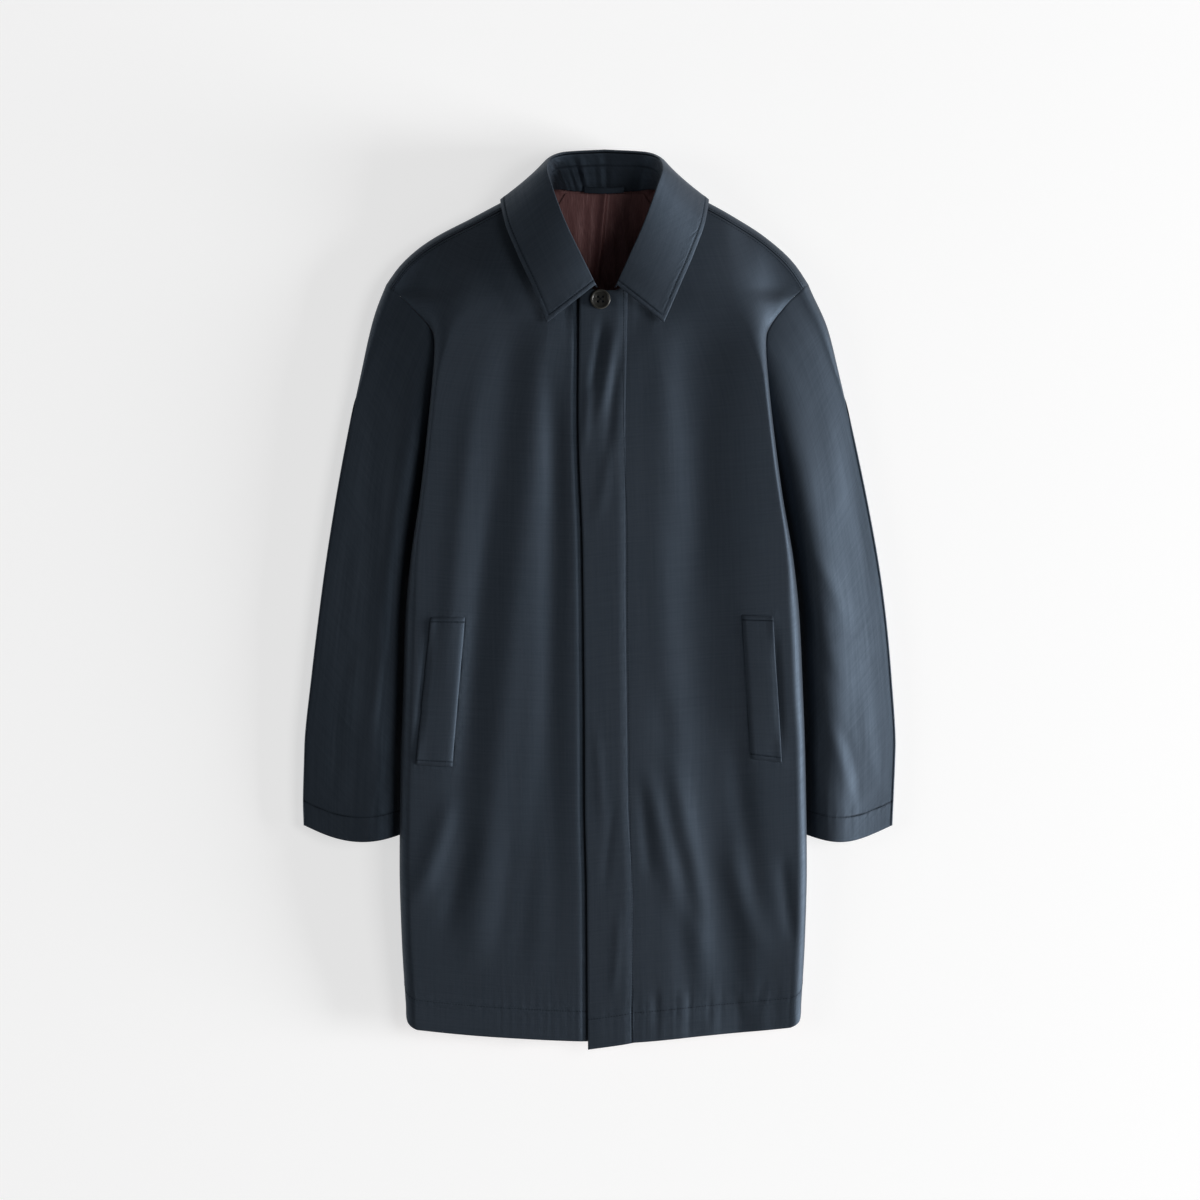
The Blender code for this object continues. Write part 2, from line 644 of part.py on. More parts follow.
def add_fronts():
    # The turn under each side is a piece of its own, cut along the widest line.
    grids = {}
    for name, side in (("front_left", 1.0), ("front_right", -1.0)):
        grid = front_grid(side)
        grids[name] = grid
        placed = leaned(grid * np.array([side, 1.0, 1.0]))
        turned = BAND_COLS + RUN_COLS + UPPER_SIDE_COLS
        under = placed[:, turned:].copy()
        under[:, 0] = drawn_back(under[:, 0], under[:, 1], UNDER_CUT_GAP)
        for word, points in (("", placed[:, :turned + 1]), ("_under", under)):
            sheet = outward_cloth(points)
            add_piece(name + word, sheet, NAVY, NAVY_ROUGH, SHELL_WALL, flip=side < 0)
        if side > 0:
            add_band(mesh_rows=placed)
    return grids


def add_band(mesh_rows):
    sheet = outward_cloth(mesh_rows)
    columns = mesh_rows.shape[1]
    moved_out(sheet, LAP_GAP)
    sheet.verts.index_update()
    beyond = [v for v in sheet.verts if v.index % columns > BAND_COLS]
    bmesh.ops.delete(sheet, geom=beyond, context="VERTS")
    add_piece("placket", sheet, NAVY, NAVY_ROUGH, BAND_WALL, outside=True)


def add_back():
    # One back, its raised sides and rolled shoulders kept as pieces of their own.
    half = back_half()
    for word, side in (("left", 1.0), ("right", -1.0)):
        edge = half[:BACK_ROWS_FLAT, SIDE_COLUMN:].copy()
        edge[:, 0] = drawn_back(edge[:, 0], edge[:, 1], SIDE_CUT_GAP)
        roll = half[BACK_ROWS_FLAT - 1:, NECK_COLUMN:].copy()
        roll[:, 0] = drawn_back(roll[:, 0], roll[:, 1], NECK_CUT_GAP)
        roll[0] = drawn_back(roll[0], roll[1], CUT_GAP)
        for name, points in (("back_side_" + word, edge), ("back_shoulder_" + word, roll)):
            placed = leaned(points * np.array([side, 1.0, 1.0]))
            add_piece(name, outward_cloth(placed), NAVY, NAVY_ROUGH, SHELL_WALL, flip=side > 0)
    middle = half[:, :SIDE_COLUMN + 1]
    mirror = middle[:, ::-1] * np.array([-1.0, 1.0, 1.0])
    whole = np.concatenate([mirror, middle[:, 1:]], axis=1)
    sheet = outward_cloth(leaned(whole))
    sheet.verts.index_update()
    columns = whole.shape[1]
    beyond = []
    for vert in sheet.verts:
        row, column = divmod(vert.index, columns)
        if row >= BACK_ROWS_FLAT and abs(column - SIDE_COLUMN) > NECK_COLUMN:
            beyond.append(vert)
    bmesh.ops.delete(sheet, geom=beyond, context="VERTS")
    add_piece("back", sheet, NAVY, NAVY_ROUGH, SHELL_WALL, flip=True)
    return half


def add_sleeves(grids, back):
    # Each sleeve is one tube, kept as two pieces cut round the elbow.
    for name, front, side in (("sleeve_left", "front_left", 1.0), ("sleeve_right", "front_right", -1.0)):
        rings = sleeve_rings(grids[front], back)
        placed = leaned(rings * np.array([side, 1.0, 1.0]))
        fore = placed[ELBOW_RING:].copy()
        fore[0] = drawn_back(fore[0], fore[1], ELBOW_CUT_GAP)
        for word, points in (("", placed[:ELBOW_RING + 1]), ("_fore", fore)):
            tube = outward_cloth(points, ring=True)
            add_piece(name + word, tube, NAVY, NAVY_ROUGH, SHELL_WALL, flip=side < 0)


def add_collar():
    leaf = leaned(both_halves(collar_half("leaf")))
    add_piece("collar_fall", outward_cloth(leaf), NAVY, NAVY_ROUGH, COLLAR_WALL, flip=True)
    stand = leaned(both_halves(collar_half("stand")))
    add_piece("collar_stand", outward_cloth(stand), NAVY, NAVY_ROUGH, COLLAR_WALL, flip=True)


def add_lining():
    rows = []
    for y in np.linspace(LINING.key[0], LINING.key[-1], LINING_ROWS + 1):
        x = np.linspace(-1, 1, LINING_COLS + 1) * LINING.at("half_width", y)
        pleat = PLEAT_RISE * np.exp(-((x / PLEAT_HALF) ** 2))
        z = LINING_Z - NECK_LIFT + neck_lift(x, np.full_like(x, y)) + pleat
        rows.append(np.stack([x, np.full_like(x, y), z], axis=-1))
    sheet = outward_cloth(leaned(np.stack(rows)))
    add_piece("back_lining", sheet, BURGUNDY, BURGUNDY_ROUGH, LINING_WALL, outside=True)


def add_loop():
    rows = []
    for share in np.linspace(0, 1, LOOP_STEPS + 1):
        x = LOOP_SPAN[0] + (LOOP_SPAN[1] - LOOP_SPAN[0]) * share
        z = LOOP_Z[0] + LOOP_Z[1] * math.sin(math.pi * share)
        rows.append([(x, LOOP_Y[0], z), (x, LOOP_Y[1], z)])
    sheet = outward_cloth(np.array(rows))
    add_piece("hanger_loop", sheet, NAVY, NAVY_ROUGH, LOOP_WALL, flip=True)


def outer_tree(name):
    mesh = bmesh.new()
    mesh.from_mesh(bpy.data.objects[name].data)
    tree = BVHTree.FromBMesh(mesh)
    mesh.free()
    return tree


def dropped(tree, x, y):
    # Point and normal where a plumb line meets a panel's outer side.
    above = 1.0
    point, normal, _, _ = tree.ray_cast(Vector((x, y, above)), Vector((0, 0, -1)))
    return point, normal


def add_welts():
    for name, front, corners in WELTS:
        named = {key: np.array(value) for key, value in zip(WELT_COLUMNS, corners)}
        tree = outer_tree(front)
        rows = []
        for down in np.linspace(0, 1, WELT_ROWS + 1):
            inner = named["top_inner"] + (named["low_inner"] - named["top_inner"]) * down
            outer = named["top_outer"] + (named["low_outer"] - named["top_outer"]) * down
            row = []
            for across in np.linspace(0, 1, WELT_COLS + 1):
                x, y = inner + (outer - inner) * across
                point, normal = dropped(tree, x, y)
                row.append(point + normal * WELT_LIFT)
            rows.append(row)
        sheet = outward_cloth(rows)
        add_piece(name, sheet, NAVY, NAVY_ROUGH, BAND_WALL, outside=True, flip=name == "welt_left")


def add_button():
    point, _ = dropped(outer_tree("placket"), *BUTTON_PLACE)
    base = point.z + BAND_WALL + BUTTON_LIFT
    profile = (
        (0.0, base),
        (BUTTON_RADIUS - BUTTON_DISH, base),
        (BUTTON_RADIUS, base + BUTTON_DISH),
        (BUTTON_RADIUS, base + BUTTON_THICK - BUTTON_DISH),
        (BUTTON_RADIUS - BUTTON_DISH, base + BUTTON_THICK),
        (BUTTON_RADIUS - BUTTON_RIM, base + BUTTON_THICK),
        (BUTTON_RADIUS - BUTTON_RIM - BUTTON_DISH, base + BUTTON_THICK - BUTTON_DISH),
        (0.0, base + BUTTON_THICK - BUTTON_DISH),
    )
    mesh = bmesh.new()
    verts = [mesh.verts.new((BUTTON_PLACE[0] + r, BUTTON_PLACE[1], z)) for r, z in profile]
    edges = [mesh.edges.new(pair) for pair in zip(verts, verts[1:])]
    centre = Vector((BUTTON_PLACE[0], BUTTON_PLACE[1], 0))
    bmesh.ops.spin(
        mesh, geom=verts + edges, cent=centre, axis=(0, 0, 1),
        angle=2 * math.pi, steps=BUTTON_SIDES, use_merge=True,
    )
    bmesh.ops.remove_doubles(mesh, verts=mesh.verts[:], dist=MERGE_DIST)
    bmesh.ops.recalc_face_normals(mesh, faces=mesh.faces[:])
    button = add_piece("button", mesh, BUTTON_COLOUR, BUTTON_ROUGH)
    drill = bmesh.new()
    for sign_x in (-1, 1):
        for sign_y in (-1, 1):
            made = bmesh.ops.create_cone(
                drill, cap_ends=True, segments=HOLE_SIDES, radius1=HOLE_RADIUS,
                radius2=HOLE_RADIUS, depth=4 * BUTTON_THICK,
            )
            place = centre + Vector((sign_x * HOLE_PITCH, sign_y * HOLE_PITCH, base))
            bmesh.ops.translate(drill, verts=made["verts"], vec=place)
    drill_data = bpy.data.meshes.new("drill")
    drill.to_mesh(drill_data)
    drill.free()
    drill_piece = bpy.data.objects.new("drill", drill_data)
    bpy.context.scene.collection.objects.link(drill_piece)
    cut = button.modifiers.new("holes", "BOOLEAN")
    cut.operation = "DIFFERENCE"
    cut.solver = "EXACT"
    cut.object = drill_piece
    graph = bpy.context.evaluated_depsgraph_get()
    cut_data = bpy.data.meshes.new_from_object(button.evaluated_get(graph))
    button.modifiers.clear()
    button.data = cut_data
    bpy.data.objects.remove(drill_piece)


def centre_on_origin():
    # Middle of the whole coat, seen from above, on the frame's origin.
    low = np.full(3, np.inf)
    high = np.full(3, -np.inf)
    for piece in bpy.context.scene.objects:
        places = np.array([v.co[:] for v in piece.data.vertices])
        low = np.minimum(low, places.min(axis=0))
        high = np.maximum(high, places.max(axis=0))
    shift = Vector((-(low[0] + high[0]) / 2, -(low[1] + high[1]) / 2, -low[2]))
    for piece in bpy.context.scene.objects:
        for vert in piece.data.vertices:
            vert.co += shift


for old in list(bpy.data.objects):
    bpy.data.objects.remove(old)
front_grids = add_fronts()
back_points = add_back()
add_sleeves(front_grids, back_points)
add_collar()
add_lining()
add_loop()
add_welts()
add_button()
centre_on_origin()
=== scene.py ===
# Fly-front coat laid on its back: fine cloth shells on the fixed frame, sewing, button, light and camera.
# Metres. Shapes are worked out on an even half coat, leaned, creased and moved to the frame.

import math

import bmesh
import bpy
import numpy as np
from mathutils import Matrix, Vector
from mathutils.bvhtree import BVHTree


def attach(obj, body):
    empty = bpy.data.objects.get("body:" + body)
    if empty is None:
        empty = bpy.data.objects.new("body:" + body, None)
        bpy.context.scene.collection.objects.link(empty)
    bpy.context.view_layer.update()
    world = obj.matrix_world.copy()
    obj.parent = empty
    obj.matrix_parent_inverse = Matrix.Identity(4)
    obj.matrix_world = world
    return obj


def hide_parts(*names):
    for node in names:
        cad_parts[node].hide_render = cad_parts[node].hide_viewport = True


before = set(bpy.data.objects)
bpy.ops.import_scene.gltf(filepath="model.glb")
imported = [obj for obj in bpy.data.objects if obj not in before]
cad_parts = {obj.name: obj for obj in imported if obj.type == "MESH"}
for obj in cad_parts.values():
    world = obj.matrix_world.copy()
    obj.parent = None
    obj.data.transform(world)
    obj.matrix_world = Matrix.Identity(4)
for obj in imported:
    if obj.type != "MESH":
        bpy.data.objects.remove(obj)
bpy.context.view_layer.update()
print("stage: frame loaded")

frameShift = np.array([0.001485, 0.001149, 0.0])
farAway = 1.0
mergeReach = 0.00001
bothSides = (("left", 1.0), ("right", -1.0))
mirrored = np.array([-1.0, 1.0, 1.0])
white = (1.0, 1.0, 1.0, 1.0)


class Table:
    def __init__(self, columns, rows):
        values = np.array(rows, float).T
        self.key = values[0]
        self.named = dict(zip(columns, values))

    def at(self, column, where):
        return spline(self.key, self.named[column], where)


def spline(knots, values, where):
    # smooth curve through a table's rows that never swings past them, level beyond the ends
    where = np.clip(np.asarray(where, float), knots[0], knots[-1])
    step = np.diff(knots)
    slope = np.diff(values) / step
    tangent = np.zeros(len(knots))
    tangent[0] = slope[0]
    tangent[-1] = slope[-1]
    for i in range(1, len(knots) - 1):
        if slope[i - 1] * slope[i] > 0:
            tangent[i] = 2 * slope[i - 1] * slope[i] / (slope[i - 1] + slope[i])
    at = np.clip(np.searchsorted(knots, where, side="right") - 1, 0, len(step) - 1)
    t = (where - knots[at]) / step[at]
    start = (1 + 2 * t) * (1 - t) ** 2 * values[at] + t * (1 - t) ** 2 * step[at] * tangent[at]
    end = t**2 * (3 - 2 * t) * values[at + 1] - t**2 * (1 - t) * step[at] * tangent[at + 1]
    return start + end


def eased(value, start, end):
    t = np.clip((value - start) / (end - start), 0.0, 1.0)
    return t * t * (3 - 2 * t)


def bezier(t, a, b, c, d):
    return (1 - t) ** 3 * a + 3 * t * (1 - t) ** 2 * b + 3 * t**2 * (1 - t) * c + t**3 * d


def blend(a, b, share):
    return a + (b - a) * share


def bell(off, half):
    return np.exp(-((off / half) ** 2))


def pathLength(points, axis):
    # length run along one way of a grid of points, from 0 at its first row or column
    step = np.linalg.norm(np.diff(points, axis=axis), axis=-1)
    return np.concatenate([np.zeros_like(np.take(step, [0], axis)), np.cumsum(step, axis=axis)], axis=axis)


def placeAt(points, run, level):
    return np.array([np.interp(level, run, points[:, a]) for a in range(3)])


# whole coat: how its middle line leans, near the middle, at the shoulders and at the sleeves
leanTable = Table(
    ("y", "inner", "outer", "sleeve"),
    (
        (-0.50, 0.0035, 0.0035, -0.0030),
        (-0.24, 0.0030, 0.0030, -0.0027),
        (-0.16, 0.0030, 0.0030, -0.0005),
        (0.00, 0.0020, 0.0020, 0.0020),
        (0.18, 0.0025, 0.0000, 0.0000),
        (0.29, 0.0050, -0.0012, -0.0012),
        (0.34, 0.0060, -0.0035, -0.0035),
        (0.39, 0.0052, -0.0015, -0.0015),
        (0.44, 0.0045, 0.0030, 0.0030),
        (0.50, 0.0050, 0.0050, 0.0050),
    ),
)
lean = {"outer": (0.115, 0.200), "sleeve": (0.228, 0.310)}

# body: widest point, side seam or armhole edge, and top of the front at each height
bodyTable = Table(
    ("y", "edgeX", "seamX", "seamZ", "topZ", "round"),
    (
        (-0.450, 0.2170, 0.1910, 0.0060, 0.030, 0.012),
        (-0.376, 0.2212, 0.1952, 0.0080, 0.039, 0.012),
        (-0.297, 0.2233, 0.1973, 0.0100, 0.045, 0.012),
        (-0.178, 0.2217, 0.1957, 0.0100, 0.050, 0.012),
        (-0.106, 0.2190, 0.1930, 0.0100, 0.053, 0.012),
        (-0.021, 0.2157, 0.1897, 0.0100, 0.055, 0.012),
        (0.042, 0.2091, 0.1831, 0.0100, 0.056, 0.007),
        (0.108, 0.1981, 0.1721, 0.0100, 0.057, 0.004),
        (0.178, 0.1893, 0.1633, 0.0100, 0.057, 0.004),
        (0.240, 0.1838, 0.1700, 0.0280, 0.0552, 0.006),
        (0.290, 0.1805, 0.1830, 0.0385, 0.0518, 0.018),
        (0.322, 0.1790, 0.2070, 0.0400, 0.0492, 0.034),
        (0.3401, 0.1800, 0.2263, 0.0289, 0.0484, 0.040),
    ),
)
body = {
    "underarmY": 0.178,
    "sideHemY": -0.438,
    "backHemDrop": 0.030,
    "bulgeShare": 1.0 / 6.0,
    "valleyShare": 0.1,
    "topRiseRun": 0.100,
    "underlapDrop": 0.0034,
    "underlapFade": 0.008,
    "underlapBack": 0.006,
    "foldFade": 0.070,
    "foldTopFade": 0.060,
    "foldBandFade": 0.022,
    "topTries": 40,
    "rowsLow": 190,
    "rowsArm": 48,
    "bandCols": 14,
    "runCols": 62,
    "sideCols": 40,
    "wall": 0.0014,
    "hemStitch": 0.033,
}

# front hems, from the front edge (0) through the start of the rounding (2) to the side (3)
hemTable = Table(
    ("place", "leftY", "rightY"),
    (
        (0.0, -0.4961, -0.4890),
        (1.0, -0.4885, -0.4872),
        (1.5, -0.4805, -0.4830),
        (2.0, -0.4725, -0.4745),
        (2.25, -0.4660, -0.4670),
        (2.5, -0.4500, -0.4520),
        (3.0, -0.4380, -0.4380),
    ),
)

# fly band: free front edge and stitched edge
bandTable = Table(
    ("y", "edgeX", "stitchX"),
    (
        (-0.496, -0.0173, 0.0334),
        (-0.330, -0.0178, 0.0346),
        (-0.220, -0.0200, 0.0294),
        (-0.040, -0.0203, 0.0278),
        (0.050, -0.0213, 0.0277),
        (0.160, -0.0257, 0.0272),
        (0.337, -0.0292, 0.0259),
    ),
)

# front neckline, from the middle to the shoulder
neckTable = Table(
    ("x", "y", "z"),
    (
        (-0.0300, 0.3370, 0.0505),
        (0.0120, 0.3370, 0.0505),
        (0.0300, 0.3490, 0.0485),
        (0.0420, 0.3720, 0.0445),
        (0.0500, 0.4000, 0.0385),
        (0.0555, 0.4300, 0.0325),
    ),
)

# shoulder line as it shows from above, and the back's armhole on the surface
shoulderTable = Table(
    ("x", "y"),
    (
        (0.0620, 0.4600),
        (0.1128, 0.4356),
        (0.1452, 0.4180),
        (0.1766, 0.4004),
        (0.2008, 0.3828),
        (0.2184, 0.3652),
        (0.2327, 0.3445),
    ),
)
backArmTable = Table(
    ("y", "x", "z"),
    (
        (0.178, 0.1633, 0.0100),
        (0.235, 0.1720, 0.0030),
        (0.285, 0.1900, 0.0000),
        (0.315, 0.2060, 0.0000),
        (0.3357, 0.2199, 0.0000),
    ),
)
shoulder = {
    "gap": 0.0008,
    "seamGap": 0.0004,
    "rollRadius": 0.0155,
    "rollEnd": math.radians(60.0),
    "neckRollFrom": 0.045,
    "neckRollTo": 0.060,
    "neckRun": 0.010,
    "neckCols": 8,
    "neckLift": 0.0034,
    "neckLiftY": (0.375, 0.408),
    "neckLiftX": (0.125, 0.165),
    "backNeckY": 0.4406,
    "sideShare": 0.898,
    "lineSteps": 60,
    "slopeProbe": 0.002,
    "backRowsArm": 40,
    "backRowsRoll": 20,
    "backCols": 46,
    "creaseFadeRows": 30,
    "stitchBelow": 0.0030,
    "stitchAbove": 0.0022,
    "stitchFrom": 0.075,
}

# large folds: ridges rise, troughs sink; x at the low end, middle and high end of the even half coat
foldColumns = ("yLow", "yHigh", "xLow", "xMid", "xHigh", "halfWidth", "rise")
leftFolds = (
    (-0.600, 0.330, 0.1700, 0.1140, 0.1060, 0.040, -0.0042),
    (-0.440, 0.330, 0.1050, 0.0700, 0.0660, 0.018, 0.0010),
    (-0.600, -0.080, 0.1120, 0.0840, 0.0620, 0.013, -0.0012),
    (-0.600, -0.220, 0.1850, 0.1640, 0.1450, 0.014, 0.0012),
    (-0.700, -0.100, 0.2350, 0.2350, 0.2350, 0.110, -0.0055),
)
rightFolds = (
    (-0.420, 0.330, 0.1470, 0.1000, 0.0610, 0.018, 0.0015),
    (-0.360, 0.320, 0.1760, 0.1300, 0.0990, 0.018, -0.0015),
    (-0.430, 0.250, 0.0980, 0.0610, 0.0500, 0.014, -0.0010),
)

# finer creases seen from above, in millimetres: both ends, bow to the left of the way, half width, rise
creaseColumns = ("x0", "y0", "x1", "y1", "bow", "halfWidth", "rise")
creaseFade = 0.35
rightCreases = (
    (-128, 285, -172, -150, -6, 12, 1.2),
    (-112, 180, -150, -220, -4, 11, -1.0),
    (-158, -200, -212, -350, 5, 12, 1.9),
    (-136, -230, -178, -380, 4, 11, -1.3),
    (-62, 290, -48, 60, 2, 10, -0.7),
    (-92, -220, -120, -430, 3, 12, -0.7),
    (-52, 345, -52, -480, 0, 14, -1.5),
)
leftCreases = (
    (44, -170, 88, -372, 4, 11, 1.7),
    (62, -130, 116, -448, 10, 12, 1.8),
    (134, -255, 190, -412, -4, 14, 1.8),
    (42, -190, 54, -320, 0, 8, -1.2),
    (86, -250, 112, -380, -2, 10, -1.5),
    (142, -116, 172, -408, 2, 13, -1.7),
    (198, -268, 214, -392, -2, 8, -1.4),
    (70, 300, 92, 40, -3, 14, 0.7),
    (108, 250, 104, -30, 3, 16, -0.8),
    (56, -424, 66, -474, 1, 6, -0.5),
    (90, -428, 97, -470, -1, 6, 0.5),
    (122, -436, 117, -468, 1, 5, -0.4),
    (148, -416, 160, -458, 1, 6, 0.5),
    (180, -414, 173, -452, 1, 5, -0.4),
)
bandCreases = (
    (4, 320, -14, 215, 2, 5, -1.7),
    (18, 318, -6, 180, 2, 6, 1.5),
    (24, 290, 6, 140, -2, 6, -1.0),
    (-12, 270, -20, 150, 1, 5, 0.9),
    (14, 190, -8, 70, 2, 7, 0.6),
    (-6, -130, 2, -260, 1, 5, 0.5),
    (16, -210, 4, -330, -1, 5, -0.5),
    (20, -330, 12, -450, 2, 5, 0.6),
)


def shoulderNormal(x):
    low = np.clip(x - shoulder["slopeProbe"], shoulderTable.key[0], shoulderTable.key[-1])
    high = np.clip(x + shoulder["slopeProbe"], shoulderTable.key[0], shoulderTable.key[-1])
    slope = (shoulderTable.at("y", high) - shoulderTable.at("y", low)) / (high - low)
    length = np.sqrt(1 + slope**2)
    return -slope / length, 1 / length


def shoulderInside(depth):
    x = np.linspace(shoulderTable.key[0], shoulderTable.key[-1], shoulder["lineSteps"])
    outX, outY = shoulderNormal(x)
    return x - outX * depth, shoulderTable.at("y", x) - outY * depth


def neckLift(x, y):
    lift = eased(y, *shoulder["neckLiftY"]) * (1 - eased(np.abs(x), *shoulder["neckLiftX"]))
    return shoulder["neckLift"] * lift


seamDepth = shoulder["rollRadius"] * (1 - math.cos(shoulder["rollEnd"])) + shoulder["gap"]
seamHeight = shoulder["rollRadius"] * (1 + math.sin(shoulder["rollEnd"]))
seamLine = shoulderInside(seamDepth)
floorLine = shoulderInside(shoulder["rollRadius"])
topX = np.concatenate([neckTable.named["x"], seamLine[0]])
topY = np.concatenate([neckTable.named["y"], seamLine[1]])
topZ = np.concatenate([neckTable.named["z"], seamHeight + neckLift(*floorLine)])
floorX = np.concatenate([[0.0, shoulder["neckRollFrom"]], floorLine[0]])
floorY = np.concatenate([[shoulder["backNeckY"]] * 2, floorLine[1]])


def leaned(points):
    points = np.array(points, float)
    x = points[..., 0]
    y = points[..., 1]
    inner = leanTable.at("inner", y)
    outer = leanTable.at("outer", y)
    middle = inner + (outer - inner) * eased(np.abs(x), *lean["outer"])
    points[..., 0] = x + middle + (leanTable.at("sleeve", y) - outer) * eased(np.abs(x), *lean["sleeve"])
    return points


def sideCurve(t, y):
    # rounding from the top of the front, over the side and under to the side seam or armhole
    edge = bodyTable.at("edgeX", y)
    seam = bodyTable.at("seamX", y)
    seamZ = bodyTable.at("seamZ", y)
    top = bodyTable.at("topZ", y)
    run = bodyTable.at("round", y)
    lap = edge - seam
    bulge = body["bulgeShare"]
    out = edge + (run + np.maximum(lap, 0)) * bulge
    low = np.where(lap > 0, out, edge + run * bulge + lap * body["valleyShare"])
    return bezier(t, edge - run, out, low, seam), bezier(t, top, top, seamZ, seamZ)


def bodySection(place, y, start, stitch):
    top = bodyTable.at("topZ", y)
    if place <= 1:
        return start + (stitch - start) * place, top
    if place <= 2:
        return stitch + (bodyTable.at("edgeX", y) - bodyTable.at("round", y) - stitch) * (place - 1), top
    return sideCurve(place - 2, y)


def foldHeight(folds, x, y):
    total = np.zeros_like(x)
    for row in folds:
        fold = dict(zip(foldColumns, row))
        s = (y - fold["yLow"]) / (fold["yHigh"] - fold["yLow"])
        bow = 4 * (fold["xMid"] - (fold["xLow"] + fold["xHigh"]) / 2) * s * (1 - s)
        middle = blend(fold["xLow"], fold["xHigh"], s) + bow
        fade = eased(y, fold["yLow"], fold["yLow"] + body["foldFade"])
        fade = fade * (1 - eased(y, fold["yHigh"] - body["foldFade"], fold["yHigh"]))
        total += fold["rise"] * bell(x - middle, fold["halfWidth"]) * fade
    return total


def creaseHeight(creases, x, y):
    # soft trough or ridge along each bowed line, fading out at both ends
    total = np.zeros_like(x)
    for row in creases:
        crease = {key: value / 1000 for key, value in zip(creaseColumns, row)}
        runX = crease["x1"] - crease["x0"]
        runY = crease["y1"] - crease["y0"]
        length = math.hypot(runX, runY)
        alongX = runX / length
        alongY = runY / length
        t = ((x - crease["x0"]) * alongX + (y - crease["y0"]) * alongY) / length
        off = (y - crease["y0"]) * alongX - (x - crease["x0"]) * alongY
        off = off - 4 * crease["bow"] * t * (1 - t)
        fade = eased(t, 0.0, creaseFade) * (1 - eased(t, 1 - creaseFade, 1.0))
        total += crease["rise"] * bell(off, crease["halfWidth"]) * fade
    return total


waviness = {
    "turn": 1.7,
    "swell": 0.45,
    "swellRun": 3.7,
    "swellTurn": 2.3,
    "drift": 0.8,
    "driftRun": 1.9,
}


def ripple(along, waves, seed):
    # uneven waviness along a line: a few waves of unlike lengths that swell and fade
    total = np.zeros_like(along)
    for i, wave in enumerate(waves):
        phase = seed * (waviness["turn"] + i) + i * i
        swelling = np.sin(along / (wave * waviness["swellRun"]) + phase * waviness["swellTurn"])
        drift = waviness["drift"] * np.sin(along / (wave * waviness["driftRun"]) + seed)
        swell = 1 - waviness["swell"] + waviness["swell"] * swelling
        total += swell * np.sin(2 * math.pi * along / wave + phase + drift)
    return total / len(waves)


def gridNormals(points, ring=False):
    if ring:
        wrapped = np.concatenate([points[:, -1:], points, points[:, :1]], axis=1)
        across = (wrapped[:, 2:] - wrapped[:, :-2]) / 2
    else:
        across = np.gradient(points, axis=1)
    normal = np.cross(across, np.gradient(points, axis=0))
    return normal / np.maximum(np.linalg.norm(normal, axis=-1, keepdims=True), 1e-12)


def segmentDistance(x, y, a, b):
    run = np.array(b) - np.array(a)
    t = np.clip(((x - a[0]) * run[0] + (y - a[1]) * run[1]) / (run @ run), 0, 1)
    return np.hypot(x - a[0] - t * run[0], y - a[1] - t * run[1])


def setInputs(tree, made, inputs):
    for key, value in inputs.items():
        if isinstance(value, bpy.types.NodeSocket):
            tree.links.new(value, made.inputs[key])
        else:
            made.inputs[key].default_value = value


def node(tree, kind, inputs=None, **settings):
    made = tree.nodes.new(kind)
    for key, value in settings.items():
        setattr(made, key, value)
    setInputs(tree, made, inputs or {})
    return made


def maths(tree, operation, a, b, clamp=False):
    return node(tree, "ShaderNodeMath", {0: a, 1: b}, operation=operation, use_clamp=clamp).outputs[0]


def times(tree, a, b):
    return maths(tree, "MULTIPLY", a, b)


def plus(tree, a, b, clamp=False):
    return maths(tree, "ADD", a, b, clamp)


def minus(tree, a, b):
    return maths(tree, "SUBTRACT", a, b)


def mixed(tree, factor, a, b):
    return node(tree, "ShaderNodeMix", {0: factor, 6: a, 7: b}, data_type="RGBA").outputs[2]


def noise(tree, vector, scale, detail, **more):
    inputs = {"Vector": vector, "Scale": scale, "Detail": detail, **more}
    return node(tree, "ShaderNodeTexNoise", inputs).outputs["Fac"]


def stretched(tree, vector, scale):
    return node(tree, "ShaderNodeMapping", {"Vector": vector, "Scale": scale}).outputs[0]


def objectPlace(tree):
    return node(tree, "ShaderNodeTexCoord").outputs["Object"]


def bumped(tree, height, strength=1.0, distance=1.0):
    inputs = {"Height": height, "Strength": strength, "Distance": distance}
    return node(tree, "ShaderNodeBump", inputs).outputs["Normal"]


def newMaterial(name):
    made = bpy.data.materials.new(name)
    made.use_nodes = True
    return made, made.node_tree, made.node_tree.nodes["Principled BSDF"]


def seamFactor(tree, width):
    # 1 on a stitch line, falling to 0 at about twice the width away
    away = node(tree, "ShaderNodeAttribute", attribute_name="seam").outputs["Fac"]
    share = maths(tree, "DIVIDE", away, width)
    return maths(tree, "POWER", math.e, times(tree, times(tree, share, share), -1.0))


navyCloth = {
    "deep": (0.0016, 0.0014, 0.0015, 1.0),
    "light": (0.0140, 0.0122, 0.0134, 1.0),
    "roughness": 0.62,
    "specular": 1.0,
    "specularTint": (0.50, 0.70, 0.95, 1.0),
    "sheen": 0.06,
    "sheenTint": (0.45, 0.60, 0.78, 1.0),
    "sheenRoughness": 0.45,
    "threadsPerMetre": 1500.0,
    "threadDrift": 1.2,
    "weaveDepth": 0.00005,
    "streaks": (340.0, 9.0),
    "crossStreaks": (14.0, 480.0),
    "slubDepth": 0.00012,
    "slubShine": 0.5,
    "slubTone": 1.8,
    "slubDetail": 5.0,
    "slubRoughness": 0.65,
    "cloudTone": 0.5,
    "cloudScale": 9.0,
    "cloudDetail": 4.0,
    # the two values below paint stitch lines and welt outlines darker: painted shade in the grooves
    "grooveShadowColour": (0.003, 0.004, 0.006, 1.0),
    "grooveShadowShare": 0.55,
    "grooveDull": 0.35,
    "grooveWidth": 0.0011,
    "grooveDepth": 0.00030,
    "puckerReach": 0.007,
    "puckerDepth": 0.0005,
    "puckerScale": 150.0,
}


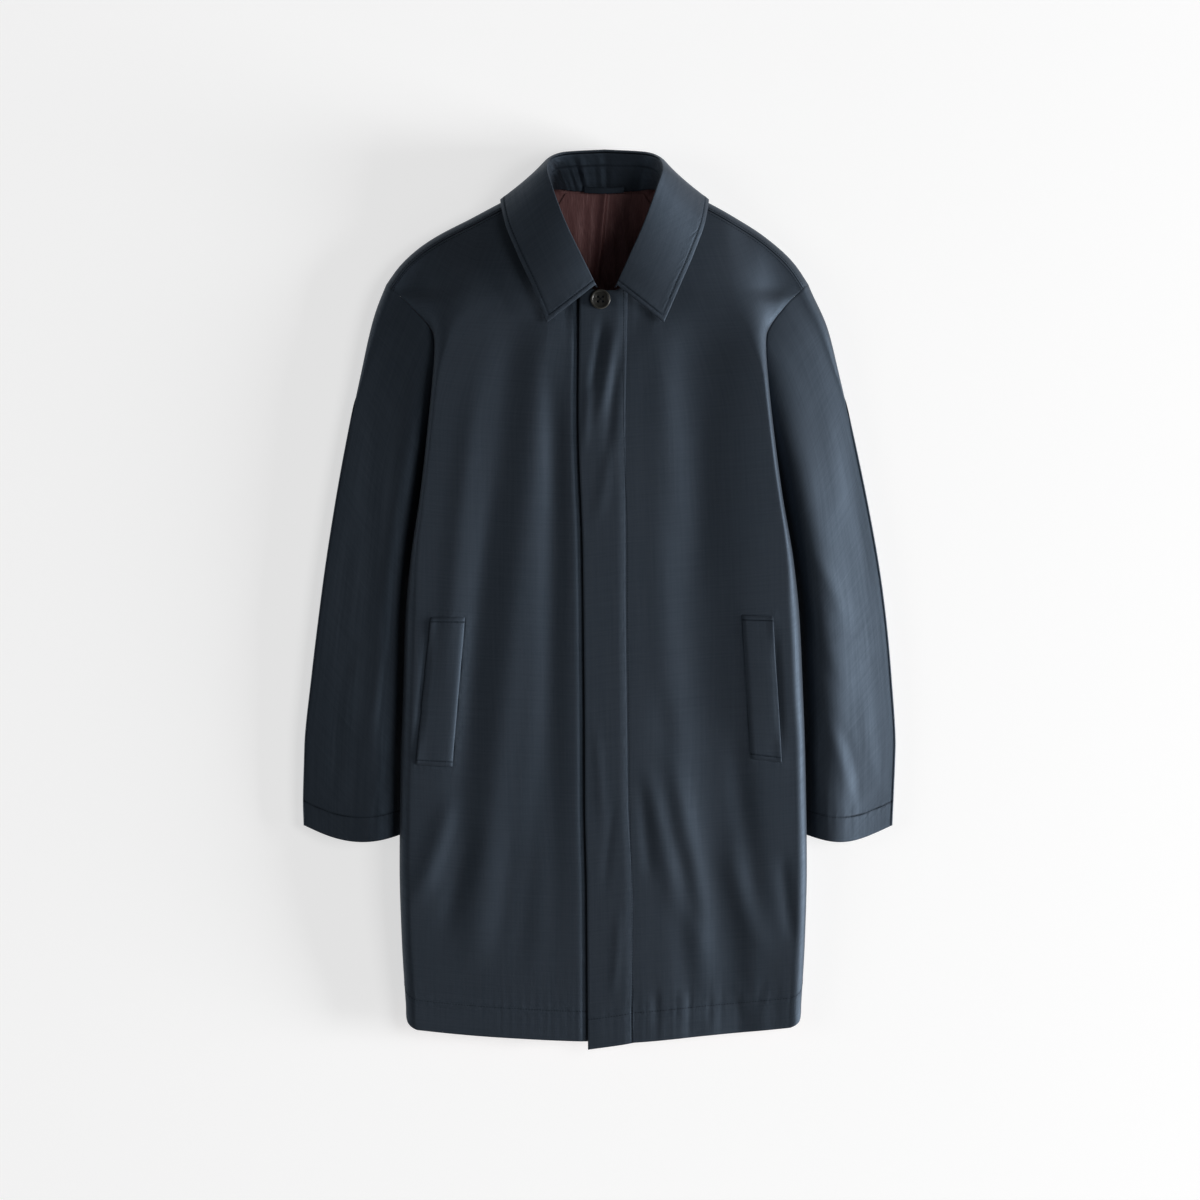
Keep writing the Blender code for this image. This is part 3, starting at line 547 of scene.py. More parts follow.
def makeNavy():
    spec = navyCloth
    made, tree, shader = newMaterial("navyCloth")
    uv = node(tree, "ShaderNodeUVMap", uv_map="weave").outputs["UV"]
    threads = {
        "Vector": uv,
        "Scale": spec["threadsPerMetre"] * math.pi / 10,  # gives the wave one band a thread
        "Distortion": spec["threadDrift"],
        "Detail": 1.0,
    }
    warp = node(tree, "ShaderNodeTexWave", threads, bands_direction="X").outputs["Fac"]
    weft = node(tree, "ShaderNodeTexWave", threads, bands_direction="Y").outputs["Fac"]
    slubs = [
        noise(tree, stretched(tree, uv, (*spec[way], 1.0)), 1.0, spec["slubDetail"], Roughness=spec["slubRoughness"])
        for way in ("streaks", "crossStreaks")
    ]
    slub = times(tree, plus(tree, *slubs), 0.5)
    uneven = minus(tree, slub, 0.5)
    cloudy = noise(tree, objectPlace(tree), spec["cloudScale"], spec["cloudDetail"])
    tone = plus(tree, times(tree, uneven, spec["slubTone"]), times(tree, cloudy, spec["cloudTone"]))
    tone = plus(tree, tone, 0.5 - spec["cloudTone"] / 2, clamp=True)
    groove = seamFactor(tree, spec["grooveWidth"])
    near = seamFactor(tree, spec["puckerReach"])
    colour = mixed(tree, tone, spec["deep"], spec["light"])
    pucker = noise(tree, uv, spec["puckerScale"], 2.0)
    height = times(tree, times(tree, warp, weft), spec["weaveDepth"])
    height = plus(tree, height, times(tree, slub, spec["slubDepth"]))
    height = minus(tree, height, times(tree, groove, spec["grooveDepth"]))
    height = plus(tree, height, times(tree, times(tree, near, pucker), spec["puckerDepth"]))
    rough = minus(tree, spec["roughness"], times(tree, uneven, spec["slubShine"]))
    setInputs(tree, shader, {
        # base colour is darkened along stitch lines and welt outlines: painted shade in the grooves
        "Base Color": mixed(tree, times(tree, groove, spec["grooveShadowShare"]), colour, spec["grooveShadowColour"]),
        "Normal": bumped(tree, height),
        "Roughness": plus(tree, rough, times(tree, groove, spec["grooveDull"]), clamp=True),
        "Specular IOR Level": spec["specular"],
        "Specular Tint": spec["specularTint"],
        "Sheen Weight": spec["sheen"],
        "Sheen Tint": spec["sheenTint"],
        "Sheen Roughness": spec["sheenRoughness"],
    })
    return made


liningCloth = {
    "deep": (0.130, 0.060, 0.059, 1.0),
    "light": (0.318, 0.150, 0.148, 1.0),
    "roughness": 0.42,
    "specular": 0.5,
    "specularTint": (1.0, 0.72, 0.72, 1.0),
    "crinkle": (260.0, 42.0, 60.0),
    "crinkleDrift": 0.6,
    "crinkleDepth": 0.0005,
    "fine": (1100.0, 120.0, 120.0),
    "fineDepth": 0.00016,
}


def makeLining():
    spec = liningCloth
    made, tree, shader = newMaterial("liningCloth")
    place = objectPlace(tree)
    crinkle = noise(tree, stretched(tree, place, spec["crinkle"]), 1.0, 2.0, Distortion=spec["crinkleDrift"])
    thread = noise(tree, stretched(tree, place, spec["fine"]), 1.0, 3.0)
    height = times(tree, crinkle, spec["crinkleDepth"])
    setInputs(tree, shader, {
        "Base Color": mixed(tree, thread, spec["deep"], spec["light"]),
        "Normal": bumped(tree, plus(tree, height, times(tree, thread, spec["fineDepth"]))),
        "Roughness": spec["roughness"],
        "Specular IOR Level": spec["specular"],
        "Specular Tint": spec["specularTint"],
    })
    return made


threadSpec = {
    "colour": (0.004, 0.005, 0.007, 1.0),
    "roughness": 0.8,
    "specular": 0.15,
    "plyScale": 2500.0,
    "plyStrength": 0.4,
    "plyDepth": 0.0001,
    "pitch": 0.0031,
    "length": 0.0023,
    "radius": 0.00032,
    "sides": 6,
    "rings": 5,
    "probe": 0.001,
}


def makeThread():
    spec = threadSpec
    made, tree, shader = newMaterial("thread")
    ply = noise(tree, objectPlace(tree), spec["plyScale"], 1.0)
    setInputs(tree, shader, {
        "Base Color": spec["colour"],
        "Normal": bumped(tree, ply, spec["plyStrength"], spec["plyDepth"]),
        "Roughness": spec["roughness"],
        "Specular IOR Level": spec["specular"],
        "Specular Tint": navyCloth["specularTint"],
    })
    return made


navyMaterial = makeNavy()
liningMaterial = makeLining()
threadMaterial = makeThread()
print("stage: cloth materials")


def objectFrom(name, mesh):
    data = bpy.data.meshes.new(name)
    mesh.to_mesh(data)
    mesh.free()
    made = bpy.data.objects.new(name, data)
    bpy.context.scene.collection.objects.link(made)
    return made


def clothUv(points):
    return pathLength(points, 1), pathLength(points, 0)


def cutSize(points):
    # longest run across and along the cloth, and its area
    u, v = clothUv(points)
    normal = np.cross(points[:-1, 1:] - points[:-1, :-1], points[1:, :-1] - points[:-1, :-1])
    return u.max(), v.max(), np.linalg.norm(normal, axis=-1).sum()


clothEdge = {"bevelShare": 0.35, "bevelAngle": math.radians(60), "bevelSegments": 2, "collapse": 0.00002}


def softenEdges(piece, width, angle):
    soft = piece.modifiers.new("edge", "BEVEL")
    soft.width = width
    soft.segments = clothEdge["bevelSegments"]
    soft.limit_method = "ANGLE"
    soft.angle_limit = angle


def clothPiece(name, cadNodes, points, wall, seam=None, ring=False, flip=False, lined=False):
    # grid of cells bent to the points, given weave coordinates and stitch distances, then a wall
    if ring:
        points = np.concatenate([points, points[:, :1]], axis=1)
    placed = points + frameShift
    rows, cols = placed.shape[:2]
    u, v = clothUv(points)
    mesh = bmesh.new()
    bmesh.ops.create_grid(mesh, x_segments=cols - 1, y_segments=rows - 1, size=0.5)
    uvLayer = mesh.loops.layers.uv.new("weave")
    seamLayer = mesh.verts.layers.float.new("seam")
    spot = {}
    for vert in mesh.verts:
        j = int(round((vert.co.x + 0.5) * (cols - 1)))
        i = int(round((vert.co.y + 0.5) * (rows - 1)))
        spot[vert] = (i, j)
    for vert, (i, j) in spot.items():
        vert.co = placed[i, j]
        vert[seamLayer] = farAway if seam is None else seam[i, j % seam.shape[1]]
    for face in mesh.faces:
        face.smooth = True
        for loop in face.loops:
            i, j = spot[loop.vert]
            loop[uvLayer].uv = (u[i, j], v[i, j])
    if ring:
        ends = [vert for vert, (i, j) in spot.items() if j in (0, cols - 1)]
        bmesh.ops.remove_doubles(mesh, verts=ends, dist=mergeReach)
        bmesh.ops.dissolve_degenerate(mesh, edges=mesh.edges[:], dist=clothEdge["collapse"])
    if flip:
        bmesh.ops.reverse_faces(mesh, faces=mesh.faces[:])
    piece = objectFrom(name, mesh)
    piece.data.materials.append(navyMaterial)
    solid = piece.modifiers.new("wall", "SOLIDIFY")
    solid.thickness = wall
    solid.offset = -1.0
    solid.use_rim = True
    if lined:
        piece.data.materials.append(liningMaterial)
        solid.material_offset = 1
    softenEdges(piece, wall * clothEdge["bevelShare"], clothEdge["bevelAngle"])
    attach(piece, "root")
    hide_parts(*cadNodes.split())
    width, length, area = cutSize(points)
    print(f"cut {name}: {width:.3f} x {length:.3f} m, {area:.4f} m2")
    return piece


def stitchRow(name, path, normals):
    # short threads along a line on the cloth, joined as one mesh
    spec = threadSpec
    path = path + frameShift
    run = pathLength(path, 0)
    seed = bmesh.new()
    bmesh.ops.create_uvsphere(seed, u_segments=spec["sides"], v_segments=spec["rings"], radius=1.0)
    seed.verts.index_update()
    shape = np.array([v.co[:] for v in seed.verts])
    shape = shape * np.array([spec["radius"], spec["radius"], spec["length"] / 2])
    faces = [[v.index for v in f.verts] for f in seed.faces]
    seed.free()
    verts = []
    allFaces = []
    for centre in np.arange(spec["pitch"] / 2, run[-1], spec["pitch"]):
        at = placeAt(path, run, centre)
        ahead = placeAt(path, run, centre + spec["probe"]) - at
        if np.linalg.norm(ahead) < 1e-9:
            continue
        ahead = ahead / np.linalg.norm(ahead)
        up = placeAt(normals, run, centre)
        up = up - ahead * (up @ ahead)
        up = up / np.linalg.norm(up)
        side = np.cross(up, ahead)
        allFaces += [[i + len(shape) * len(verts) for i in f] for f in faces]
        verts.append(at + shape[:, :1] * side + shape[:, 1:2] * up + shape[:, 2:] * ahead)
    data = bpy.data.meshes.new(name)
    data.from_pydata(np.concatenate(verts).tolist(), [], allFaces)
    for polygon in data.polygons:
        polygon.use_smooth = True
    data.materials.append(threadMaterial)
    row = bpy.data.objects.new(name, data)
    bpy.context.scene.collection.objects.link(row)
    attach(row, "root")
    return row


def rowAtHeight(points, normals, level):
    # line across the columns where each one has run a given length from its first row
    run = pathLength(points, 0)
    columns = range(points.shape[1])
    path = [placeAt(points[:, j], run[:, j], level) for j in columns]
    ups = [placeAt(normals[:, j], run[:, j], level) for j in columns]
    return np.array(path), np.array(ups)


# fronts and fly band
def bandLines(over, y):
    if over:
        return bandTable.at("edgeX", y), bandTable.at("stitchX", y)
    return body["underlapBack"] - bandTable.at("stitchX", y), -bandTable.at("edgeX", y)


hemRipple = {
    "left": {"waves": (0.053, 0.031, 0.019), "rise": 0.0005, "seed": 1.3},
    "right": {"waves": (0.024, 0.014), "rise": 0.0003, "seed": 4.1},
    "above": 0.020,
    "below": 0.034,
    "columnRun": 0.3,
}

weltColumns = ("topInner", "topOuter", "lowInner", "lowOuter")
weltCorners = {
    "right": ((-0.1480, -0.0210), (-0.1854, -0.0209), (-0.1623, -0.1848), (-0.2019, -0.1826)),
    "left": ((0.1546, -0.0187), (0.1887, -0.0198), (0.1645, -0.1760), (0.1986, -0.1804)),
}
welt = {
    "lift": 0.0013,
    "lip": 0.0007,
    "wall": 0.0010,
    "cols": 16,
    "rows": 60,
    "endStitch": 0.0052,
    "mouthDepth": -1.6,
    "mouthHalf": 4.0,
    "foldLift": 0.35,
    "foldRun": 0.10,
    "endLift": 0.55,
    "endRun": 0.04,
    "lipFrom": 0.75,
}


def frontGrid(side, places):
    # rows from hem to shoulder, columns from the front edge round to the side seam and armhole
    over = side > 0
    key = "left" if over else "right"
    hem = hemTable.at(key + "Y", places)
    folds = leftFolds if over else rightFolds
    columns = []
    for place, low in zip(places, hem):
        rimY = neckTable.named["y"][0]
        for _ in range(body["topTries"]):
            start, stitch = bandLines(over, rimY)
            rimY = np.interp(bodySection(place, rimY, start, stitch)[0], topX, topY)
        y = np.concatenate([
            np.linspace(low, body["underarmY"], body["rowsLow"] + 1),
            np.linspace(body["underarmY"], rimY, body["rowsArm"] + 1)[1:],
        ])
        start, stitch = bandLines(over, y)
        x, z = bodySection(place, y, start, stitch)
        rimZ = np.interp(x[-1], topX, topZ)
        below = np.clip((rimY - y) / body["topRiseRun"], 0, 1)
        z = rimZ + (z - rimZ) * (1 - (1 - below) ** 2)
        keep = eased(rimY - y, 0, body["foldTopFade"]) * np.clip(3 - place, 0, 1)
        onBody = eased(x - stitch, 0, body["foldBandFade"])
        z = z + foldHeight(folds, x, y) * keep * onBody
        if not over:
            z = z - body["underlapDrop"] * (1 - eased(x - stitch, 0, body["underlapFade"]))
        placed = leaned(np.stack([x * side, y, z], axis=-1))
        fine = creaseHeight(leftCreases if over else rightCreases, placed[:, 0], placed[:, 1]) * onBody
        if over:
            fine = fine + creaseHeight(bandCreases, placed[:, 0], placed[:, 1]) * (1 - onBody)
        mouth = dict(zip(weltColumns, np.array(weltCorners[key]) * 1000))
        trench = ((*mouth["topOuter"], *mouth["lowOuter"], 0, welt["mouthHalf"], welt["mouthDepth"]),)
        fine = fine + creaseHeight(trench, placed[:, 0], placed[:, 1])
        wave = hemRipple[key]
        up = y - low - body["hemStitch"]
        reach = np.where(up > 0, hemRipple["above"], hemRipple["below"])
        waving = ripple(np.full_like(y, x[0] + hemRipple["columnRun"] * place), wave["waves"], wave["seed"])
        fine = fine + wave["rise"] * waving * bell(up, reach)
        placed[:, 2] += fine * keep
        columns.append(placed)
    return np.stack(columns, axis=1)


def hemDistance(points, low):
    return np.abs(clothUv(points)[1] - low)


frontPlaces = np.concatenate([
    np.linspace(0, 1, body["bandCols"] + 1),
    np.linspace(1, 2, body["runCols"] + 1)[1:],
    np.linspace(2, 3, body["sideCols"] + 1)[1:],
])
frontPoints = {}
for key, side in bothSides:
    points = frontGrid(side, frontPlaces)
    corner = dict(zip(weltColumns, weltCorners[key]))
    seam = hemDistance(points, body["hemStitch"])
    # the welt outlines join the stitch distances, so the cloth shader paints them darker as painted shade
    for a, b in (("topInner", "lowInner"), ("topInner", "topOuter"), ("lowInner", "lowOuter")):
        seam = np.minimum(seam, segmentDistance(points[..., 0], points[..., 1], corner[a], corner[b]))
    normals = gridNormals(points) * side
    name = f"front{key.title()}Cloth"
    cadNames = f"front_{key} front_{key}_under"
    clothPiece(name, cadNames, points, body["wall"], seam, flip=side < 0, lined=True)
    frontPoints[key] = (points, normals)
print("stage: fronts")

band = {
    "lift": 0.0012,
    "sewn": -0.0001,
    "taper": (0.78, 1.0),
    "wall": 0.0010,
    "stitchPlace": 0.965,
    "hemSkip": 3,
    "fineFrom": 0.88,
    "wideCols": 18,
    "fineCols": 13,
}
bandPlaces = np.concatenate([
    np.linspace(0, band["fineFrom"], band["wideCols"]),
    np.linspace(band["fineFrom"], 1.0, band["fineCols"])[1:],
])
bandPoints = frontGrid(1.0, bandPlaces)
bandNormals = gridNormals(bandPoints)
bandLift = blend(band["sewn"], band["lift"], 1 - eased(bandPlaces, *band["taper"]))
bandPoints = bandPoints + bandNormals * bandLift[None, :, None]
bandU = clothUv(bandPoints)[0]
bandSeam = np.minimum(
    np.abs(bandU - bandU[:, -1:] * band["stitchPlace"]), hemDistance(bandPoints, body["hemStitch"])
)
placket = clothPiece("placketCloth", "placket", bandPoints, band["wall"], bandSeam)
print("stage: fly band")


# back
def backSide(y):
    low = y <= body["underarmY"]
    x = np.where(low, bodyTable.at("seamX", y), backArmTable.at("x", y)) - shoulder["seamGap"]
    return x, np.where(low, bodyTable.at("seamZ", y), backArmTable.at("z", y))


backCreases = (
    (-60, 300, -90, -200, 8, 12, 0.9),
    (40, 250, 85, -150, -6, 12, 0.8),
    (110, 120, 130, -330, 5, 10, 0.9),
    (-130, 60, -120, -350, -4, 11, 0.8),
    (10, -40, -20, -400, 3, 14, 0.7),
)


def backHalf():
    columns = []
    angle = np.linspace(-math.pi / 2, shoulder["rollEnd"], shoulder["backRowsRoll"] + 1)[1:]
    tipX = backArmTable.named["x"][-1]
    shares = np.concatenate([
        np.linspace(0, shoulder["neckRollFrom"], shoulder["neckCols"]),
        np.linspace(shoulder["neckRollFrom"], tipX, shoulder["backCols"] - shoulder["neckCols"] + 1)[1:],
    ]) / tipX
    for share in shares:
        endX = share * backSide(backArmTable.key[-1])[0]
        endY = np.interp(endX, floorX, floorY)
        low = body["sideHemY"] - body["backHemDrop"] * (1 - share**2)
        y = np.concatenate([
            np.linspace(low, body["underarmY"], body["rowsLow"] // 2 + 1),
            np.linspace(body["underarmY"], endY, shoulder["backRowsArm"] + 1)[1:],
        ])
        sideX, sideZ = backSide(y)
        x = share * sideX
        ramp = max(share - shoulder["sideShare"], 0.0) / (1 - shoulder["sideShare"])
        z = sideZ * ramp + neckLift(x, y)
        line = np.clip(np.interp(endX, floorLine[0], np.linspace(0, 1, len(floorLine[0]))), 0, 1)
        outX, outY = shoulderNormal(blend(shoulderTable.key[0], shoulderTable.key[-1], line))
        roll = eased(endX, shoulder["neckRollFrom"], shoulder["neckRollTo"])
        neckStep = shoulder["neckRun"] / shoulder["backRowsRoll"]
        flat = neckStep * np.arange(1, shoulder["backRowsRoll"] + 1) * (1 - roll)
        reach = shoulder["rollRadius"] * np.cos(angle) * roll
        rolled = np.stack([
            x[-1] + outX * reach,
            y[-1] + outY * reach + flat,
            z[-1] + shoulder["rollRadius"] * (1 + np.sin(angle)) * roll,
        ], axis=-1)
        columns.append(np.concatenate([np.stack([x, y, z], axis=-1), rolled]))
    return np.stack(columns, axis=1)


backHalfPoints = backHalf()
backPoints = leaned(np.concatenate([backHalfPoints[:, ::-1] * mirrored, backHalfPoints[:, 1:]], axis=1))
lowRows = body["rowsLow"] // 2 + shoulder["backRowsArm"]
lying = 1 - eased(np.arange(len(backPoints)), lowRows - shoulder["creaseFadeRows"], lowRows)
backPoints[..., 2] += creaseHeight(backCreases, backPoints[..., 0], backPoints[..., 1]) * lying[:, None]
backSeam = hemDistance(backPoints, body["hemStitch"])
backNodes = "back back_side_left back_side_right back_shoulder_left back_shoulder_right"
back = clothPiece("backCloth", backNodes, backPoints, body["wall"], backSeam, flip=True, lined=True)
print("stage: back")

# sleeves: outer and inner edges, height and height of the outer edge, from armhole to cuff
sleeveTable = Table(
    ("section", "outerX", "outerY", "innerX", "innerY", "height", "edgeZ"),
    (
        (0.0, 0.2327, 0.3445, 0.1633, 0.1780, 0.0375, 0.0155),
        (1.0, 0.2505, 0.3000, 0.1722, 0.1500, 0.0410, 0.0170),
        (2.0, 0.2635, 0.2450, 0.1822, 0.1150, 0.0435, 0.0180),
        (3.0, 0.2775, 0.1800, 0.1900, 0.0750, 0.0440, 0.0180),
        (4.0, 0.2932, 0.0990, 0.1975, 0.0300, 0.0440, 0.0180),
        (5.0, 0.3072, 0.0120, 0.2035, -0.0250, 0.0435, 0.0180),
        (6.0, 0.3182, -0.0850, 0.2055, -0.0950, 0.0420, 0.0175),
        (7.0, 0.3245, -0.1650, 0.2085, -0.1680, 0.0390, 0.0165),
        (8.0, 0.3243, -0.2150, 0.2097, -0.2150, 0.0360, 0.0155),
        (9.0, 0.3232, -0.2505, 0.2100, -0.2555, 0.0330, 0.0145),
    ),
)
sleeve = {
    "start": 0.004,
    "peak": 1.45,
    "full": (0.70, 1.30),
    "flat": 1.15,
    "innerTop": 0.0085,
    "innerLow": 0.0015,
    "armholeReach": 3.2,
    "underarmClear": 0.0016,
    "underBodyGap": 0.0034,
    "underBodySlope": 2.0,
    "underBodyFrom": 0.3,
    "underBodySteps": 36,
    "cuffReach": 2.2,
    "cuffBowTop": 0.0150,
    "cuffBowLow": 0.0040,
    "rings": 150,
    "lowShares": (1.0, 0.92, 0.80, 0.65, 0.49, 0.34, 0.21, 0.12, 0.06, 0.028, 0.008, 0.0, 0.001),
    "wall": 0.0010,
    "cuffStitch": 0.027,
    "cuffWaves": (0.017, 0.010),
    "cuffRise": 0.0006,
    "cuffSpread": 0.018,
    "cuffSeed": 2.0,
    "creaseFrom": (0.02, 0.12),
    "lowKnots": (9, 6),
}
sleeveCreases = {
    "left": (
        (238, 250, 262, 60, 8, 12, 1.5),
        (262, 190, 296, -20, 6, 9, -1.2),
        (225, 60, 272, -40, 6, 9, 1.4),
        (222, 20, 262, -110, -8, 8, -1.3),
        (250, -40, 310, -60, 3, 7, 0.9),
        (240, -120, 276, -230, 5, 8, 1.2),
        (290, -90, 306, -220, -4, 8, 1.0),
        (262, -130, 286, -240, 3, 6, -1.0),
        (224, -150, 250, -240, 2, 7, 1.0),
    ),
    "right": (
        (-244, 250, -262, 40, -6, 11, 1.2),
        (-228, 200, -246, -40, -4, 9, -1.2),
        (-276, 120, -300, -100, 4, 10, 1.2),
        (-232, -10, -262, -170, 5, 9, 1.5),
        (-256, -30, -286, -180, -3, 8, -1.3),
        (-226, -130, -252, -240, 3, 7, 1.3),
        (-284, -110, -300, -235, 2, 8, 1.0),
        (-262, -150, -272, -245, -2, 7, 0.9),
    ),
}


def sleeveSection(section, f, upper):
    outer = np.array([sleeveTable.at("outerX", section), sleeveTable.at("outerY", section)])
    inner = np.array([sleeveTable.at("innerX", section), sleeveTable.at("innerY", section)])
    height = sleeveTable.at("height", section)
    edge = sleeveTable.at("edgeZ", section)
    along = blend(outer, inner, f[:, None])
    full = blend(*sleeve["full"], f)
    arch = np.clip(np.sin(np.pi * f ** sleeve["peak"]), 0, 1) ** full
    edgeTop = blend(edge, sleeve["innerTop"], f)
    edgeLow = blend(edge, sleeve["innerLow"], f)
    sunk = np.maximum(0, 1 - sleeve["flat"] * np.sqrt(np.clip(np.sin(np.pi * f), 0, 1)))
    z = np.where(upper, blend(edgeTop, height, arch), edgeLow * sunk)
    cuff = eased(section, sleeveTable.key[-1] - sleeve["cuffReach"], sleeveTable.key[-1])
    bow = np.where(upper, sleeve["cuffBowTop"], sleeve["cuffBowLow"]) * np.sin(np.pi * f) * cuff
    return np.stack([along[:, 0], along[:, 1] - bow, z], axis=-1)


def underBody(x, y):
    # height the body's underside leaves for a sleeve at a place beside or below it
    t = np.linspace(sleeve["underBodyFrom"], 1.0, sleeve["underBodySteps"])
    room = np.full(len(x), np.inf)
    for i in range(len(x)):
        sideX, sideZ = sideCurve(t, y[i])
        widest = int(np.argmax(sideX))
        if widest < len(t) - 1:
            under = np.interp(x[i], sideX[widest:][::-1], sideZ[widest:][::-1])
            room[i] = under + max(x[i] - sideX[widest], 0.0) * sleeve["underBodySlope"]
    return room - sleeve["underBodyGap"]


def sleeveRings(side):
    # rings from armhole to cuff; the first follows the armhole edges of front and back
    frontArm = frontGrid(side, frontPlaces[-1:])[body["rowsLow"]:, 0][::-1]
    frontArm = evened(frontArm, side)
    backArm = backHalfPoints[body["rowsLow"] // 2:, -1][:-1]
    topCount = len(frontArm)
    lowCount = len(backArm)
    topF = np.sin(np.pi / 2 * (np.arange(topCount) + 0.5) / (topCount - 0.5)) ** 2
    armKnots, rollKnots = sleeve["lowKnots"]
    coarse = np.concatenate([
        np.linspace(0, shoulder["backRowsArm"], armKnots),
        shoulder["backRowsArm"] + np.linspace(0, shoulder["backRowsRoll"], rollKnots)[1:-1],
    ])
    lowF = spline(coarse, np.array(sleeve["lowShares"]), np.arange(lowCount))
    f = np.clip(np.concatenate([topF, lowF]), 0, 1)
    upper = np.arange(len(f)) < topCount
    arm = np.concatenate([frontArm, backArm])
    arm[topCount, 2] = sleeve["innerLow"]
    arm[:, 0] += sleeve["underarmClear"] * f
    rings = []
    for section in np.linspace(sleeve["start"], sleeveTable.key[-1], sleeve["rings"]):
        ring = sleeveSection(section, f, upper)
        pull = 1 - eased(section, sleeve["start"], sleeve["armholeReach"])
        ring = ring + pull * (arm - sleeveSection(0.0, f, upper))
        room = underBody(ring[:, 0], ring[:, 1])
        ring[:, 2] = np.where(upper, np.minimum(ring[:, 2], room), ring[:, 2])
        rings.append(ring)
    return np.stack(rings), upper, f


def evened(points, side):
    # placed points back on the even half coat
    y = points[:, 1]
    x = points[:, 0] * side
    for _ in range(body["topTries"]):
        moved = leaned(np.stack([x * side, y, points[:, 2]], axis=-1))[:, 0] * side
        x = x + (points[:, 0] * side - moved)
    return np.stack([x, y, points[:, 2]], axis=-1)


sleevePoints = {}
for key, side in bothSides:
    rings, upper, f = sleeveRings(side)
    points = leaned(rings * np.array([side, 1.0, 1.0]))
    fade = eased(np.linspace(0, 1, len(points)), *sleeve["creaseFrom"])[:, None]
    bulk = np.where(upper, np.sqrt(np.abs(np.sin(np.pi * f))), 0.0)[None, :]
    points[..., 2] += creaseHeight(sleeveCreases[key], points[..., 0], points[..., 1]) * fade * bulk
    fromStitch = pathLength(points[::-1], 0)[::-1] - sleeve["cuffStitch"]
    wave = ripple(points[..., 0], sleeve["cuffWaves"], side + sleeve["cuffSeed"])
    points[..., 2] += sleeve["cuffRise"] * wave * bell(fromStitch, sleeve["cuffSpread"]) * bulk
    name = f"sleeve{key.title()}Cloth"
    cadNames = f"sleeve_{key} sleeve_{key}_fore"
    seam = np.abs(fromStitch)
    clothPiece(name, cadNames, points, sleeve["wall"], seam, ring=True, flip=side < 0)
    sleevePoints[key] = (points, gridNormals(points, ring=True) * side)
print("stage: sleeves")

# collar from its front end (0) round to the middle of the back (7): neck seam, roll line, edge
collarTable = Table(
    ("station", "neckX", "neckY", "neckZ", "rollX", "rollY", "rollZ", "edgeX", "edgeY", "edgeZ", "turn"),
    (
        (0.0, 0.0090, 0.3400, 0.0524, 0.0110, 0.3425, 0.0640, 0.0640, 0.3010, 0.0620, 0.00),
        (1.0, 0.0390, 0.3680, 0.0474, 0.0265, 0.3750, 0.0690, 0.0795, 0.3380, 0.0630, 0.00),
        (2.0, 0.0505, 0.4070, 0.0402, 0.0435, 0.4120, 0.0710, 0.0965, 0.3760, 0.0595, 0.00),
        (3.0, 0.0560, 0.4370, 0.0347, 0.0565, 0.4470, 0.0680, 0.1100, 0.4120, 0.0480, 0.00),
        (4.0, 0.0555, 0.4480, 0.0290, 0.0635, 0.4700, 0.0580, 0.1150, 0.4380, 0.0235, 0.25),
        (5.0, 0.0460, 0.4495, 0.0152, 0.0600, 0.4810, 0.0420, 0.0985, 0.4420, 0.0010, 0.80),
        (6.0, 0.0320, 0.4480, 0.0082, 0.0440, 0.4885, 0.0240, 0.0650, 0.4330, 0.0000, 1.00),
        (7.0, 0.0000, 0.4475, 0.0074, 0.0000, 0.4915, 0.0170, 0.0000, 0.4200, 0.0000, 1.00),
    ),
)
collar = {
    "centreY": 0.410,
    "bulge": 0.0015,
    "near": 0.3,
    "far": 0.7,
    "rollOut": 0.0085,
    "rollDrop": 0.0045,
    "underShare": 0.90,
    "underOut": 0.004,
    "standStop": 0.0016,
    "steps": 100,
    "leafCols": 40,
    "standCols": 26,
    "leafWall": 0.0016,
    "standWall": 0.0012,
    "edgeStitch": 0.0052,
    "standStitch": 0.014,
    "standWaves": (0.0085, 0.0125),
    "standRise": 0.0021,
    "standSeed": 2.2,
    "standLean": 0.2,
    "standFromY": 0.43,
    "standFade": (0.08, 0.98),
    "gathered": {"x": -0.030, "half": 0.024},
    "loose": {"share": 0.25, "half": 0.05},
    "edgeSkip": 9,
    "endSkip": 3,
}


def collarLine(prefix, station):
    return np.stack([collarTable.at(prefix + axis, station) for axis in ("X", "Y", "Z")], axis=-1)


def collarHalf(kind):
    station = np.linspace(0, collarTable.key[-1], collar["steps"] + 1)
    neck = collarLine("neck", station)
    roll = collarLine("roll", station)
    edge = collarLine("edge", station)
    if kind == "stand":
        rise = roll - neck
        rise = rise * (1 - collar["standStop"] / np.linalg.norm(rise, axis=1, keepdims=True))
        return np.stack([neck + rise * s for s in np.linspace(0, 1, collar["standCols"] + 1)], axis=1)
    turn = collarTable.at("turn", station)[:, None]
    away = roll[:, :2] - np.array([0.0, collar["centreY"]])
    away = away / np.linalg.norm(away, axis=1, keepdims=True)
    rise = np.array([0.0, 0.0, collar["bulge"]])
    drop = np.full((len(station), 1), -collar["rollDrop"])
    out = np.concatenate([away * collar["rollOut"], drop], axis=1)
    first = (1 - turn) * (blend(roll, edge, collar["near"]) + rise) + turn * (roll + out)
    under = blend(edge, roll, collar["underShare"])
    under = np.concatenate([under[:, :2] + away * collar["underOut"], edge[:, 2:]], axis=1)
    second = (1 - turn) * (blend(roll, edge, collar["far"]) + rise) + turn * under
    shares = np.linspace(0, 1, collar["leafCols"] + 1)
    return np.stack([bezier(s, roll, first, second, edge) for s in shares], axis=1)


def bothHalves(half):
    return np.concatenate([half * mirrored, half[::-1][1:]])


